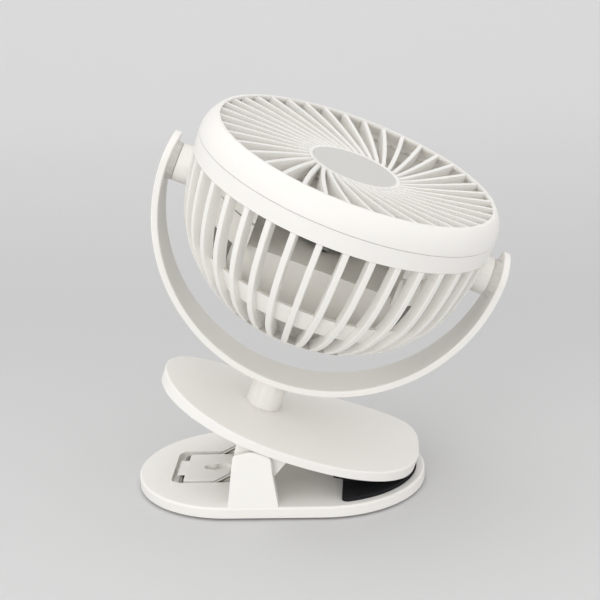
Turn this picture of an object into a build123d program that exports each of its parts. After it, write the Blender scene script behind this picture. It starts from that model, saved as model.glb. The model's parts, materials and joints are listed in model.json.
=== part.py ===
from build123d import *
import os
from math import asin, atan2, cos, degrees, pi, radians, sin, sqrt, tan

# A small clip fan: a spring clip carries a short post, a half-ring yoke and a round fan head.
# Frame: origin on the floor under the middle of the lower jaw, +X towards the tip of the jaws,
# +Z up. The fan's controls face away, towards +Y and down. Millimetres.

# ---- Lower jaw ----
base_length = 128.0
base_width = 87.0
base_height = 6.0
base_wall = 2.0
base_top_wall = 2.0
base_top_edge = 1.0
base_skirt_lift = 1.2
foot_thickness = 1.0
foot_inset = 7.0
cover_thickness = 1.0
recess_left = -48.3
recess_right = -20.0
recess_width = 34.6
recess_corner = 4.5
recess_wall = 1.6
fit_gap = 0.15
cover_fit = 0.3
thread_gap = 0.03
cover_boss_web = 0.8
base_screw_bite = 1.4

# ---- Hinge ----
hinge_x = -9.4
hinge_height = 20.3
jaw_opening = 32.0
ear_inset = 0.25
ear_foot_width = 22.0
ear_top_width = 16.4
ear_top_corner = 2.2
ear_clear = 0.45
ear_foot_thickness = 6.0
ear_lean = 10.5
pin_diameter = 4.0
pin_fit = 0.05
pin_end_skin = 1.2
pin_chamfer = 0.4

# ---- Upper jaw ----
jaw_tilt = 20.1
jaw_x = 2.75
jaw_height = 25.8
jaw_length = 118.0
jaw_width = 80.4
jaw_rim_height = 3.8
jaw_crown = 2.3
jaw_end_rise = 4.4
jaw_wall = 1.8
jaw_plate = 1.2
jaw_plate_lift = 0.25
rear_roundness = 2.09
tip_roundness = 3.06
jaw_ear_radius = 9.0
jaw_ear_thickness = 3.5
jaw_ear_gap = 0.9
jaw_ear_left = -20.0
jaw_ear_right = 4.5
jaw_ear_root = 2.8
jaw_ear_notch = 0.3
jaw_edge = 0.7
jaw_rim_steps = 8
bend_overrun = 1.2
jaw_screw_y = 18.2
jaw_rear_screw_x = -38.0
jaw_front_screw_x = 16.0
jaw_screw_bite = 1.6
swivel_seat_web = 0.3

# ---- Pads ----
pad_inset = 3.6
pad_edge_x = 27.9
pad_corner = 2.5
lower_pad_pocket = 0.8
lower_pad_proud = 1.6
upper_pad_inset = 5.2
upper_pad_edge_x = 24.0
pads_gap = 0.05

# ---- Spring ----
wire_diameter = 1.8
coil_radius = 4.6
coil_turns = 3
coil_pitch = 2.4
spring_leg_y = 15.9
spring_bend = 3.2
spring_end_x = -43.0
spring_rise_from_x = -31.0
spring_cross_x = -44.6
wire_seat_gap = 0.05
spring_guide_wall = 1.2
spring_guide_height = 1.6
spring_guide_length = 6.0
spring_guide_setback = 2.0
spring_guide_gap = 0.3

# ---- Keyhole plate ----
keyhole_plate_right = -23.0
keyhole_plate_left = -43.0
keyhole_tongue_left = -46.5
keyhole_plate_width = 29.2
keyhole_tongue_width = 14.6
keyhole_plate_drop = 0.25
keyhole_slot = 4.4
keyhole_head = 8.4
keyhole_slot_end = -33.0
keyhole_head_x = -26.6
keyhole_depth = 2.0
keyhole_corner = 1.5
keyhole_edge = 0.4

# ---- Post and yoke ----
post_x = -12.9
post_lean = 2.3
post_foot_height = 6.35
post_diameter = 15.5
post_length = 13.35
swivel_diameter = 9.0
swivel_fit = 0.1
swivel_seat_diameter = 18.0
swivel_seat_gap = 0.1
washer_thickness = 0.8
washer_diameter = 14.0
yoke_radius = 76.65
yoke_thickness = 3.0
yoke_width = 24.6
yoke_edge = 0.6
swivel_screw_diameter = 2.6
swivel_head_diameter = 5.6
swivel_head_height = 1.3
swivel_screw_bite = 9.0
pivot_cap_sunk = 0.45
nut_radius = 3.6
nut_thickness = 2.5
bush_radius = 3.5
bush_stop = 1.4
bush_stop_clear = 0.4
pivot_seam_x = 70.6
boss_diameter = 16.5
seam_gap = 0.3
pivot_screw_diameter = 4.0
pivot_head_diameter = 8.0
pivot_head_height = 1.8
pivot_cap_diameter = 13.0
pivot_cap_thickness = 1.0

# ---- Head ----
head_lean = 5.5
front_z = 29.1
band_radius = 66.4
band_wall = 2.0
seam_z = 18.8
band_bottom_z = 11.3
floor_z = -29.9
floor_thickness = 1.5
bowl_bottom_z = -47.5
shoulder_bend = 14.25
wall_bend = 137.0
wall_turn = 11.7
lower_bend = 54.0
lower_turn = 68.5
rim_height = 3.5
rim_wall = 2.0
seam_line = 0.2
lip_height = 2.2
lip_wall = 1.4
lip_fit = 0.35
ledge_radius = 52.3
ledge_thickness = 1.5
ring_inset = 3.0
ring_wall = 2.0
ring_top_z = -21.5
drum_radius = 31.5
drum_wall = 2.0
pivot_wall = 3.5
pivot_wall_setback = 0.6
pivot_wall_drop = 9.5
pivot_wall_width = 19.0
hub_wall = 2.0
vane_drop = 0.2
vane_sweep = 31.0
rib_count = 38
rib_width = 2.6
rib_depth = 4.8
rib_setback = 0.25
vane_count = 40
vane_thickness = 1.8
vane_depth = 5.6
vane_rim_z = 28.95
hub_z = 25.0
hub_radius = 20.4
hub_depth = 5.5
badge_radius = 18.3
badge_thickness = 1.2
badge_fit = 0.1
bush_length = 6.0
boss_inner_x = 58.5

# ---- Inner housing, motor and impeller ----
pod_half_length = 37.0
pod_half_width = 38.0
pod_top_z = -9.7
pod_wall = 1.4
pod_corner = 9.0
side_wall_x = 31.0
side_wall_radius = 53.5
side_wall_thickness = 1.8
side_gap_top = 2.5
side_gap_bottom = 0.8
motor_diameter = 26.0
motor_height = 15.0
motor_gap = 1.0
shaft_diameter = 2.3
shaft_fit = 0.05
motor_wall = 1.2
motor_plate_thickness = 1.2
motor_screw_radius = 8.5
motor_screw_count = 3
motor_cable_y = -13.0
bearing_tube_radius = 3.2
stator_radius = 9.8
stator_core_radius = 4.8
tooth_tip = 1.2
tooth_width = 2.0
slot_count = 9
slot_opening = 1.0
coil_build = 0.55
air_gap = 0.3
magnet_setback = 0.6
shaft_socket = 1.0
sleeve_height = 4.0
cable_hole = 5.0
impeller_hub_diameter = 35.0
impeller_hub_top_z = 17.0
impeller_hub_bottom_z = -6.5
impeller_radius = 50.5
impeller_wall = 1.6
blade_count = 5
blade_thickness = 1.4
blade_camber = 3.4
blade_root_radius = 10.0
blade_root_chord = 22.0
blade_root_pitch = 36.0
blade_middle_radius = 31.0
blade_middle_chord = 31.0
blade_middle_pitch = 25.0
blade_tip_chord = 38.0
blade_tip_pitch = 18.0
blade_low_z = 3.0
blade_high_z = 15.8
blade_mid_z = 8.2
hub_rounding = 3.0

# ---- Battery, board, port and button ----
cell_diameter = 18.4
cell_length = 65.0
cell_y = 16.0
contact_size = 11.0
contact_thickness = 0.5
pod_gap = 0.6
board_thickness = 1.2
board_z = -42.3
board_screw_x = 13.5
board_screw_y = 18.5
board_screw_bite = 5.0
board_boss_wall = 1.2
board_width = 34.0
board_length = 44.0
button_diameter = 11.0
button_travel = 1.0
button_proud = 1.2
button_gap = 0.35
button_edge = 0.8
button_flange = 1.3
button_flange_thickness = 0.7
button_stem_radius = 2.0
cap_bottom_z = -51.0
cap_wall = 2.1
cap_seat_rise = 1.2
cap_seat_web = 1.7
cap_hollow_radius = 24.5
cap_screw_x = 21.0
cap_screw_y = 8.0
cap_screw_bite = 5.0
port_width = 9.0
port_height = 3.3
port_length = 6.5
port_corner = 1.2
port_wall = 0.35
port_tongue_gap = 2.3
port_tongue_thickness = 0.7
port_y = 18.0
led_diameter = 3.0
led_x = 12.5
led_tip_z = -50.4
switch_size = 6.0
switch_height = 2.4
switch_plunger = 0.7

# ---- Screws ----
screw_diameter = 2.0
screw_head_diameter = 3.8
screw_head_height = 1.2
boss_wall = 1.6
pod_screw_x = 25.0
pod_screw_bite = 6.0
base_screw_x = 40.0
base_screw_y = 24.0
driver_share = 0.28

os.makedirs("parts", exist_ok=True)

# ---- Levels worked out from the sizes above ----
cover_top = foot_thickness + cover_thickness
recess_floor = cover_top + 1.0
base_ceiling = base_height - base_top_wall
ear_outer_y = base_width / 2 - ear_inset
ear_inner_y = ear_outer_y - ear_foot_thickness
jaw_ear_outer_y = ear_inner_y - jaw_ear_gap
sag_radius = (jaw_length / 2) ** 2 / (2 * jaw_end_rise)
wire_centre_z = recess_floor + wire_diameter / 2 + wire_seat_gap


# ---- Planes ----
def leaning_plane(origin, lean):
    """A plane through origin whose own Z leans by lean degrees from upright towards +X."""
    angle = radians(lean)
    return Plane(origin=origin, x_dir=(cos(angle), 0, -sin(angle)), z_dir=(sin(angle), 0, cos(angle)))


def along(plane, offset=0.0):
    """The section plane that holds the plane's own X and Z, moved along its Y."""
    return Plane(origin=plane.origin + plane.y_dir * offset, x_dir=plane.x_dir, z_dir=-plane.y_dir)


def across(plane, offset=0.0):
    """The section plane that holds the plane's own Y and Z, moved along its X."""
    return Plane(origin=plane.origin + plane.x_dir * offset, x_dir=plane.y_dir, z_dir=plane.x_dir)


floor_plane = Plane.XY
hinge_plane = Plane(origin=(hinge_x, 0, hinge_height))
jaw_plane = leaning_plane(Vector(jaw_x, 0, jaw_height), jaw_tilt)
post_origin = jaw_plane.origin + jaw_plane.x_dir * post_x + jaw_plane.z_dir * post_foot_height
post_plane = leaning_plane(post_origin, jaw_tilt + post_lean)
pivot_plane = post_plane.offset(post_length + yoke_radius)
head_z = pivot_plane.z_dir * cos(radians(head_lean)) - pivot_plane.y_dir * sin(radians(head_lean))
head_plane = Plane(origin=pivot_plane.origin, x_dir=pivot_plane.x_dir, z_dir=head_z)
hinge_in_jaw = jaw_plane.to_local_coords(hinge_plane.origin)
ear_reach = -hinge_in_jaw.Z - ear_clear
pin_hole_depth = ear_outer_y - (hinge_height - base_height) * tan(radians(ear_lean)) - pin_end_skin


def ear_corner(side, lean):
    """The centre of an ear's top corner, clear of the jaw's underside when that leans by lean degrees."""
    x = side * (ear_top_width / 2 - ear_top_corner)
    return (x, (ear_reach - ear_top_corner - x * sin(radians(lean))) / cos(radians(lean)))


def save(piece, label):
    """Labels a finished piece and writes it as its own file."""
    piece.part.label = label
    export_step(piece.part, f"parts/{label}.step")


def screw(plane, places, head_diameter, head_height, shank_diameter, shank_length, name):
    """Screws whose heads stand on the plane and whose shanks run along its Z, as one group."""
    with BuildPart() as screws:
        with BuildSketch(plane):
            with Locations(*places):
                Circle(head_diameter / 2)
        extrude(amount=-head_height)
        with BuildSketch(plane):
            with Locations(*places):
                Circle(shank_diameter / 2)
        extrude(amount=shank_length)
        with BuildSketch(plane.offset(-head_height)):
            with Locations(*places):
                RegularPolygon(head_diameter * driver_share, 6)
        extrude(amount=head_height * driver_share * 2, mode=Mode.SUBTRACT)
    save(screws, name)


# ---- Lower jaw ----
def base_outline(inset):
    """The lower jaw's rounded outline, in the active sketch."""
    SlotOverall(base_length - 2 * inset, base_width - 2 * inset)


def pad_outline(inset):
    """The D-shaped outline of the lower pad at the tip of the jaw, in the active sketch."""
    base_outline(pad_inset + inset)
    with Locations((pad_edge_x + inset + base_length / 2, 0)):
        Rectangle(base_length, base_width, mode=Mode.INTERSECT)


recess_x = (recess_left + recess_right) / 2
recess_length = recess_right - recess_left
base_screws_at = [(x, y) for x in (-base_screw_x, base_screw_x) for y in (-base_screw_y, base_screw_y)]
screw_seat_z = foot_thickness + screw_head_height
screw_boss_top = screw_seat_z + cover_boss_web

with BuildPart() as base_shell:
    with BuildSketch(floor_plane.offset(base_skirt_lift)):
        base_outline(0)
    extrude(amount=base_height - base_skirt_lift)
    fillet(base_shell.faces().sort_by(Axis.Z)[-1].edges(), base_top_edge)
    with BuildSketch(floor_plane.offset(base_skirt_lift)):
        base_outline(base_wall)
    extrude(amount=base_ceiling - base_skirt_lift, mode=Mode.SUBTRACT)
    # walls and floor of the recess under the rear of the upper jaw
    with BuildSketch(floor_plane.offset(cover_top)):
        with Locations((recess_x, 0)):
            RectangleRounded(recess_length + 2 * recess_wall, recess_width + 2 * recess_wall, recess_corner)
    extrude(amount=base_ceiling - cover_top)
    with BuildSketch(floor_plane.offset(recess_floor)):
        with Locations((recess_x, 0)):
            RectangleRounded(recess_length, recess_width, recess_corner)
    extrude(amount=base_height - recess_floor, mode=Mode.SUBTRACT)
    # hinge ears, whose outer faces lean in so that their tops stand behind the upper jaw's rim
    for side in (-1, 1):
        with BuildSketch(along(hinge_plane, side * (ear_outer_y - ear_foot_thickness / 2))):
            with BuildLine() as ear:
                CenterArc((0, 0), ear_reach, 0, 360)
                CenterArc(ear_corner(1, jaw_tilt), ear_top_corner, 0, 360)
                CenterArc(ear_corner(-1, jaw_tilt - jaw_opening), ear_top_corner, 0, 360)
                Line((-ear_foot_width / 2, base_ceiling - hinge_height),
                     (ear_foot_width / 2, base_ceiling - hinge_height))
            make_hull(ear.edges())
        extrude(amount=ear_foot_thickness / 2, both=True)
        with BuildSketch(across(hinge_plane)):
            with BuildLine():
                Polyline((side * ear_outer_y, base_height - hinge_height),
                         (side * (ear_outer_y - (ear_reach + hinge_height - base_height) * tan(radians(ear_lean))),
                          ear_reach),
                         (side * ear_outer_y, ear_reach), close=True)
            make_face()
        extrude(amount=ear_foot_width, both=True, mode=Mode.SUBTRACT)
    with BuildSketch(along(hinge_plane)):
        Circle(pin_diameter / 2 + pin_fit)
    extrude(amount=pin_hole_depth, both=True, mode=Mode.SUBTRACT)
    # pocket for the pad
    with BuildSketch(floor_plane.offset(base_height - lower_pad_pocket)):
        pad_outline(0)
        fillet(vertices(), pad_corner)
    extrude(amount=lower_pad_pocket, mode=Mode.SUBTRACT)
    # screw bosses
    with BuildSketch(floor_plane.offset(screw_boss_top)):
        with Locations(*base_screws_at):
            Circle(screw_diameter / 2 + boss_wall)
    extrude(amount=base_ceiling - screw_boss_top)
    with BuildSketch(floor_plane.offset(screw_boss_top)):
        with Locations(*base_screws_at):
            Circle(screw_diameter / 2)
    extrude(amount=base_screw_bite, mode=Mode.SUBTRACT)
save(base_shell, "base_shell")

with BuildPart() as base_bottom_cover:
    with BuildSketch(floor_plane.offset(foot_thickness)):
        base_outline(base_wall + cover_fit)
    extrude(amount=cover_thickness)
    with BuildSketch(floor_plane.offset(cover_top)):
        with Locations(*base_screws_at):
            Circle(screw_head_diameter / 2 + boss_wall)
    extrude(amount=screw_boss_top - cover_top)
    with BuildSketch(floor_plane.offset(foot_thickness)):
        with Locations(*base_screws_at):
            Circle(screw_head_diameter / 2 + fit_gap)
    extrude(amount=screw_head_height, mode=Mode.SUBTRACT)
    with BuildSketch(floor_plane.offset(foot_thickness)):
        with Locations(*base_screws_at):
            Circle(screw_diameter / 2 + fit_gap)
    extrude(amount=screw_boss_top - foot_thickness, mode=Mode.SUBTRACT)
save(base_bottom_cover, "base_bottom_cover")

with BuildPart() as base_foot_pad:
    with BuildSketch(floor_plane):
        base_outline(foot_inset)
    extrude(amount=foot_thickness)
save(base_foot_pad, "base_foot_pad")

screw(floor_plane.offset(screw_seat_z), base_screws_at, screw_head_diameter, screw_head_height,
      screw_diameter - 2 * thread_gap, screw_boss_top + base_screw_bite - screw_seat_z - fit_gap,
      "base_screws")

with BuildPart() as lower_jaw_pad:
    with BuildSketch(floor_plane.offset(base_height - lower_pad_pocket)):
        pad_outline(fit_gap)
        fillet(vertices(), pad_corner - fit_gap)
    extrude(amount=lower_pad_pocket + lower_pad_proud)
save(lower_jaw_pad, "lower_jaw_pad")

with BuildPart() as hinge_pin:
    with BuildSketch(along(hinge_plane)):
        Circle(pin_diameter / 2)
    extrude(amount=pin_hole_depth - fit_gap, both=True)
    chamfer(hinge_pin.edges().filter_by(GeomType.CIRCLE), pin_chamfer)
save(hinge_pin, "hinge_pin")

# plate with the keyhole: it stands on the recess floor and holds the spring's cross wire down
keyhole_plate_top = base_height - keyhole_plate_drop
tongue_underside = wire_centre_z + wire_diameter / 2 + fit_gap
with BuildPart() as spring_retainer:
    with BuildSketch(floor_plane.offset(recess_floor)):
        with Locations(((keyhole_plate_left + keyhole_plate_right) / 2, 0)):
            RectangleRounded(keyhole_plate_right - keyhole_plate_left, keyhole_plate_width, keyhole_corner)
    extrude(amount=keyhole_plate_top - recess_floor)
    with BuildSketch(floor_plane.offset(tongue_underside)):
        with Locations(((keyhole_tongue_left + keyhole_plate_right) / 2, 0)):
            Rectangle(keyhole_plate_right - keyhole_tongue_left, keyhole_tongue_width)
    extrude(amount=keyhole_plate_top - tongue_underside)
    fillet(spring_retainer.faces().sort_by(Axis.Z)[-1].edges(), keyhole_edge)
    with BuildSketch(floor_plane.offset(keyhole_plate_top)):
        with Locations((keyhole_head_x, 0)):
            Circle(keyhole_head / 2)
        with Locations(((keyhole_slot_end + keyhole_head_x) / 2, 0)):
            SlotCenterToCenter(keyhole_head_x - keyhole_slot_end, keyhole_slot)
    extrude(amount=-keyhole_depth, mode=Mode.SUBTRACT)
save(spring_retainer, "spring_retainer")


# ---- Spring, worked out first because the jaw's guides follow it ----
def circle_lean(run, rise):
    """The angle in degrees at which the coil is seen from a point at that distance."""
    return degrees(asin(coil_radius / sqrt(run**2 + rise**2)))


spring_end_z = spring_end_x**2 / (2 * sag_radius) + jaw_plate_lift - wire_diameter / 2 - wire_seat_gap
spring_end = jaw_plane.from_local_coords((spring_end_x, 0, spring_end_z))
lead_run = hinge_x - spring_rise_from_x
lead_rise = hinge_height - wire_centre_z
end_run = spring_end.X - hinge_x
end_rise = spring_end.Z - hinge_height
lead_slope = degrees(atan2(lead_rise, lead_run)) - circle_lean(lead_run, lead_rise)
end_slope = degrees(atan2(end_rise, end_run)) + circle_lean(end_run, end_rise)
coil_first = lead_slope - 90
coil_last = end_slope - 90 + 360 * coil_turns
spring_end_y = spring_leg_y + coil_pitch * (coil_last - coil_first) / 360


# ---- Upper jaw ----
jaw_bend_axis = Axis(jaw_plane.origin + jaw_plane.z_dir * sag_radius, jaw_plane.y_dir * -1)
jaw_bend_half_angle = degrees(jaw_length / 2 / sag_radius) * bend_overrun


def jaw_rim_points(inset):
    """Points on a quarter of the jaw's outline on each side of its middle, tip side first."""
    half_length = jaw_length / 2 - inset
    half_width = jaw_width / 2 - inset
    quarters = []
    for direction, power in ((1, tip_roundness), (-1, rear_roundness)):
        turns = [radians(90 * step / jaw_rim_steps) for step in range(jaw_rim_steps + 1)]
        quarters.append([
            (direction * half_length * sin(turn) ** (2 / power), half_width * cos(turn) ** (2 / power))
            for turn in turns
        ])
    return quarters


def jaw_outline(inset):
    """The upper jaw's egg-shaped outline, blunt at the tip, in the active sketch."""
    with BuildLine() as rim:
        for quarter in jaw_rim_points(inset):
            outward = (1, 0) if quarter[-1][0] > 0 else (-1, 0)
            Spline(*quarter, tangents=(outward, (0, -1)))
        mirror(about=Plane.XZ)
    make_face(rim.edges())


def jaw_slab(inset, bottom, top, crown):
    """A slab with the jaw's outline, bent up at both ends and crowned from side to side."""
    start = radians(jaw_bend_half_angle)
    low_end = jaw_plane.x_dir * -sin(start) - jaw_plane.z_dir * cos(start)
    profile_plane = Plane(
        origin=jaw_plane.origin + (jaw_plane.z_dir + low_end) * sag_radius,
        x_dir=jaw_plane.y_dir,
        z_dir=jaw_plane.x_dir * cos(start) - jaw_plane.z_dir * sin(start),
    )
    with BuildPart(mode=Mode.PRIVATE) as slab:
        with BuildSketch(jaw_plane.offset(-jaw_length / 2)):
            jaw_outline(inset)
        extrude(amount=jaw_length)
        with BuildSketch(profile_plane):
            with BuildLine():
                Polyline((-jaw_width / 2, top), (-jaw_width / 2, bottom), (jaw_width / 2, bottom),
                         (jaw_width / 2, top))
                if crown:
                    ThreePointArc((jaw_width / 2, top), (0, top + crown), (-jaw_width / 2, top))
                else:
                    Line((jaw_width / 2, top), (-jaw_width / 2, top))
            make_face()
        revolve(axis=jaw_bend_axis, revolution_arc=2 * jaw_bend_half_angle, mode=Mode.INTERSECT)
    return slab.part


def jaw_sag(x):
    """How far the bent slab has risen at a distance from its middle."""
    return x**2 / (2 * sag_radius)


def jaw_boss_foot(x):
    """Where the bosses of the two jaw shells meet."""
    return jaw_sag(abs(x) + screw_head_diameter / 2) + jaw_plate_lift + jaw_plate + cover_boss_web


def jaw_ear(grow):
    """The side view of an ear on the upper jaw, in the active sketch."""
    with BuildLine() as ear:
        CenterArc((hinge_in_jaw.X, hinge_in_jaw.Z), jaw_ear_radius + grow, 0, 360)
        Line((jaw_ear_left - grow, jaw_ear_root), (jaw_ear_right + grow, jaw_ear_root))
    make_hull(ear.edges())


jaw_skin = jaw_slab(0, 0, jaw_rim_height, jaw_crown)
jaw_hollow = jaw_slab(jaw_wall, -jaw_rim_height, jaw_rim_height - jaw_wall, jaw_crown)
jaw_base_plate = jaw_slab(jaw_wall + cover_fit, jaw_plate_lift, jaw_plate_lift + jaw_plate, 0)
jaw_ear_mid_y = jaw_ear_outer_y - jaw_ear_thickness / 2
seat_underside = -jaw_wall - swivel_seat_web

with BuildPart() as upper_jaw_top_shell:
    add(jaw_skin)
    fillet(upper_jaw_top_shell.faces().sort_by(Axis(jaw_plane.origin, jaw_plane.z_dir))[-1].edges(), jaw_edge)
    add(jaw_hollow, mode=Mode.SUBTRACT)
    # flat seat for the post, above and below the skin
    with BuildSketch(post_plane):
        Circle(swivel_seat_diameter / 2)
    extrude(amount=seat_underside)
    with BuildSketch(post_plane):
        Circle(swivel_seat_diameter / 2)
    extrude(amount=jaw_crown, mode=Mode.SUBTRACT)
    with BuildSketch(post_plane):
        Circle(swivel_diameter / 2 + swivel_fit)
    extrude(amount=2 * seat_underside, both=True, mode=Mode.SUBTRACT)
    # ears that turn on the hinge pin
    for side in (-1, 1):
        with BuildSketch(along(jaw_plane, side * jaw_ear_mid_y)):
            jaw_ear(0)
        extrude(amount=jaw_ear_thickness / 2, both=True)
        with BuildSketch(along(jaw_plane, side * jaw_ear_mid_y)):
            with Locations((hinge_in_jaw.X, hinge_in_jaw.Z)):
                Circle(pin_diameter / 2 + pin_fit)
        extrude(amount=jaw_ear_thickness / 2, both=True, mode=Mode.SUBTRACT)
    # bosses for the screws from below
    for x in (jaw_rear_screw_x, jaw_front_screw_x):
        with BuildSketch(jaw_plane.offset(jaw_boss_foot(x))):
            with Locations((x, -jaw_screw_y), (x, jaw_screw_y)):
                Circle(screw_diameter / 2 + boss_wall)
        extrude(until=Until.NEXT)
        with BuildSketch(jaw_plane.offset(jaw_boss_foot(x))):
            with Locations((x, -jaw_screw_y), (x, jaw_screw_y)):
                Circle(screw_diameter / 2)
        extrude(amount=jaw_screw_bite, mode=Mode.SUBTRACT)
save(upper_jaw_top_shell, "upper_jaw_top_shell")

with BuildPart() as upper_jaw_bottom_shell:
    add(jaw_base_plate)
    for x in (jaw_rear_screw_x, jaw_front_screw_x):
        head_seat = jaw_boss_foot(x) - cover_boss_web
        with BuildSketch(jaw_plane.offset(jaw_boss_foot(x))):
            with Locations((x, -jaw_screw_y), (x, jaw_screw_y)):
                Circle(screw_head_diameter / 2 + boss_wall)
        extrude(amount=-cover_boss_web - jaw_plate / 2)
        with BuildSketch(jaw_plane.offset(head_seat)):
            with Locations((x, -jaw_screw_y), (x, jaw_screw_y)):
                Circle(screw_head_diameter / 2 + fit_gap)
        extrude(amount=-jaw_rim_height, mode=Mode.SUBTRACT)
        with BuildSketch(jaw_plane.offset(head_seat)):
            with Locations((x, -jaw_screw_y), (x, jaw_screw_y)):
                Circle(screw_diameter / 2 + fit_gap)
        extrude(amount=cover_boss_web, mode=Mode.SUBTRACT)
    # notches that the ears pass through
    for side in (-1, 1):
        with BuildSketch(along(jaw_plane, side * jaw_ear_mid_y)):
            jaw_ear(jaw_ear_notch)
        extrude(amount=jaw_ear_thickness / 2 + jaw_ear_notch, both=True, mode=Mode.SUBTRACT)
    # pairs of low walls that keep the spring's end legs in place
    guide_offset = wire_diameter / 2 + spring_guide_gap + spring_guide_wall / 2
    for side in (-1, 1):
        for guide_side in (-guide_offset, guide_offset):
            with BuildSketch(along(jaw_plane, side * spring_end_y + guide_side)):
                with Locations((spring_end_x + spring_guide_setback + spring_guide_length / 2,
                                spring_end_z + (wire_diameter - spring_guide_height) / 2)):
                    Rectangle(spring_guide_length, spring_guide_height + jaw_plate)
            extrude(amount=spring_guide_wall / 2, both=True)
save(upper_jaw_bottom_shell, "upper_jaw_bottom_shell")

jaw_screw_length = cover_boss_web + jaw_screw_bite - fit_gap
with BuildPart() as upper_jaw_screws:
    for x in (jaw_rear_screw_x, jaw_front_screw_x):
        head_seat = jaw_boss_foot(x) - cover_boss_web
        with BuildSketch(jaw_plane.offset(head_seat)):
            with Locations((x, -jaw_screw_y), (x, jaw_screw_y)):
                Circle(screw_head_diameter / 2)
        extrude(amount=-screw_head_height)
        with BuildSketch(jaw_plane.offset(head_seat)):
            with Locations((x, -jaw_screw_y), (x, jaw_screw_y)):
                Circle(screw_diameter / 2 - thread_gap)
        extrude(amount=jaw_screw_length)
save(upper_jaw_screws, "upper_jaw_screws")

# the upper pad is as thick as brings its tip down onto the lower pad
pad_tip_x = jaw_length / 2 - upper_pad_inset
lower_pad_top = base_height + lower_pad_proud
pad_tip_ceiling = jaw_plane.from_local_coords((pad_tip_x, 0, jaw_sag(pad_tip_x) + jaw_plate_lift)).Z
upper_pad_thickness = (pad_tip_ceiling - lower_pad_top - pads_gap) / cos(radians(jaw_tilt))
upper_pad_slab = jaw_slab(upper_pad_inset, jaw_plate_lift - upper_pad_thickness, jaw_plate_lift, 0)

with BuildPart() as upper_jaw_pad:
    add(upper_pad_slab)
    with BuildSketch(jaw_plane.offset(-jaw_length / 2)):
        with Locations((upper_pad_edge_x + jaw_length / 2, 0)):
            RectangleRounded(jaw_length, jaw_width - 2 * upper_pad_inset, pad_corner)
    extrude(amount=jaw_length, mode=Mode.INTERSECT)
save(upper_jaw_pad, "upper_jaw_pad")


# ---- Spring ----
def coil_point(turn, side_y):
    """A place on the coil at an angle from +X in the side view."""
    angle = radians(turn)
    return Vector(hinge_x + coil_radius * cos(angle), side_y, hinge_height + coil_radius * sin(angle))


def coil_way(turn, climb):
    """The wire's direction there; climb is how far it moves sideways over a radian."""
    angle = radians(turn)
    return Vector(-coil_radius * sin(angle), climb, coil_radius * cos(angle)).normalized()


def bend(before, corner, after):
    """A round bend of the wire at a corner; returns where it starts and ends."""
    way_in = (corner - before).normalized()
    way_out = (after - corner).normalized()
    reach = spring_bend * tan(radians(way_in.get_angle(way_out)) / 2)
    start = corner - way_in * reach
    end = corner + way_out * reach
    TangentArc(start, end, tangent=way_in)
    return start, end


def biarc(start, start_way, end, end_way):
    """Two arcs that leave start along start_way and reach end along end_way."""
    chord = end - start
    lean = chord.dot(start_way + end_way)
    spread = 2 * (1 - start_way.dot(end_way))
    reach = (sqrt(lean**2 + spread * chord.dot(chord)) - lean) / spread
    middle = (start + start_way * reach + end - end_way * reach) * 0.5
    first = TangentArc(start, middle, tangent=start_way)
    TangentArc(middle, end, tangent=first % 1)


def least_gap(path, samples):
    """The least gap between stretches of the wire that aren't next to each other."""
    places = [path @ (step / samples) for step in range(samples + 1)]
    apart = int(3 * wire_diameter / path.length * samples) + 1
    least = min(
        (places[i] - places[j]).length
        for i in range(samples + 1)
        for j in range(i + apart, samples + 1)
    )
    return least - wire_diameter


with BuildLine() as spring_path:
    cross_middle = Vector(spring_cross_x, 0, wire_centre_z)
    rear_corner = Vector(spring_cross_x, spring_leg_y, wire_centre_z)
    rise_corner = Vector(spring_rise_from_x, spring_leg_y, wire_centre_z)
    coil_start = coil_point(coil_first, spring_leg_y)
    coil_end = coil_point(coil_last, spring_end_y)
    leg_end = Vector(spring_end.X, spring_end_y, spring_end.Z)
    rear_bend = bend(cross_middle, rear_corner, rise_corner)
    rise_bend = bend(rear_corner, rise_corner, coil_start)
    Line(cross_middle, rear_bend[0])
    Line(rear_bend[1], rise_bend[0])
    Line(rise_bend[1], coil_start)
    quarters = round((coil_last - coil_first) / 90)
    coil_climb = coil_pitch / (2 * pi)
    for quarter in range(quarters):
        turns = [coil_first + (coil_last - coil_first) * (quarter + end) / quarters for end in (0, 1)]
        climbs = [0 if quarter == 0 else coil_climb, 0 if quarter == quarters - 1 else coil_climb]
        sides = [spring_leg_y + coil_pitch * (turn - coil_first) / 360 for turn in turns]
        biarc(coil_point(turns[0], sides[0]), coil_way(turns[0], climbs[0]),
              coil_point(turns[1], sides[1]), coil_way(turns[1], climbs[1]))
    Line(coil_end, leg_end)
    mirror(about=Plane.XZ)
spring_wire = Wire(spring_path.edges())
print("spring gap", round(least_gap(spring_wire, 900), 3))

with BuildPart() as clip_spring:
    with BuildSketch(Plane(origin=spring_wire @ 0, z_dir=spring_wire % 0)):
        Circle(wire_diameter / 2)
    sweep(path=spring_wire)
save(clip_spring, "clip_spring")


# ---- Post and yoke ----
washer_top = seat_underside - swivel_seat_gap
washer_bottom = washer_top - washer_thickness
yoke_inner_radius = yoke_radius - yoke_thickness
cap_floor_x = yoke_radius - pivot_cap_sunk - pivot_cap_thickness
head_floor_x = cap_floor_x - pivot_head_height
boss_face_x = pivot_seam_x - seam_gap
bush_end_x = boss_face_x - bush_length
nut_face_x = bush_end_x - bush_stop - fit_gap
shank_end_x = nut_face_x - nut_thickness - thread_gap

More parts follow.
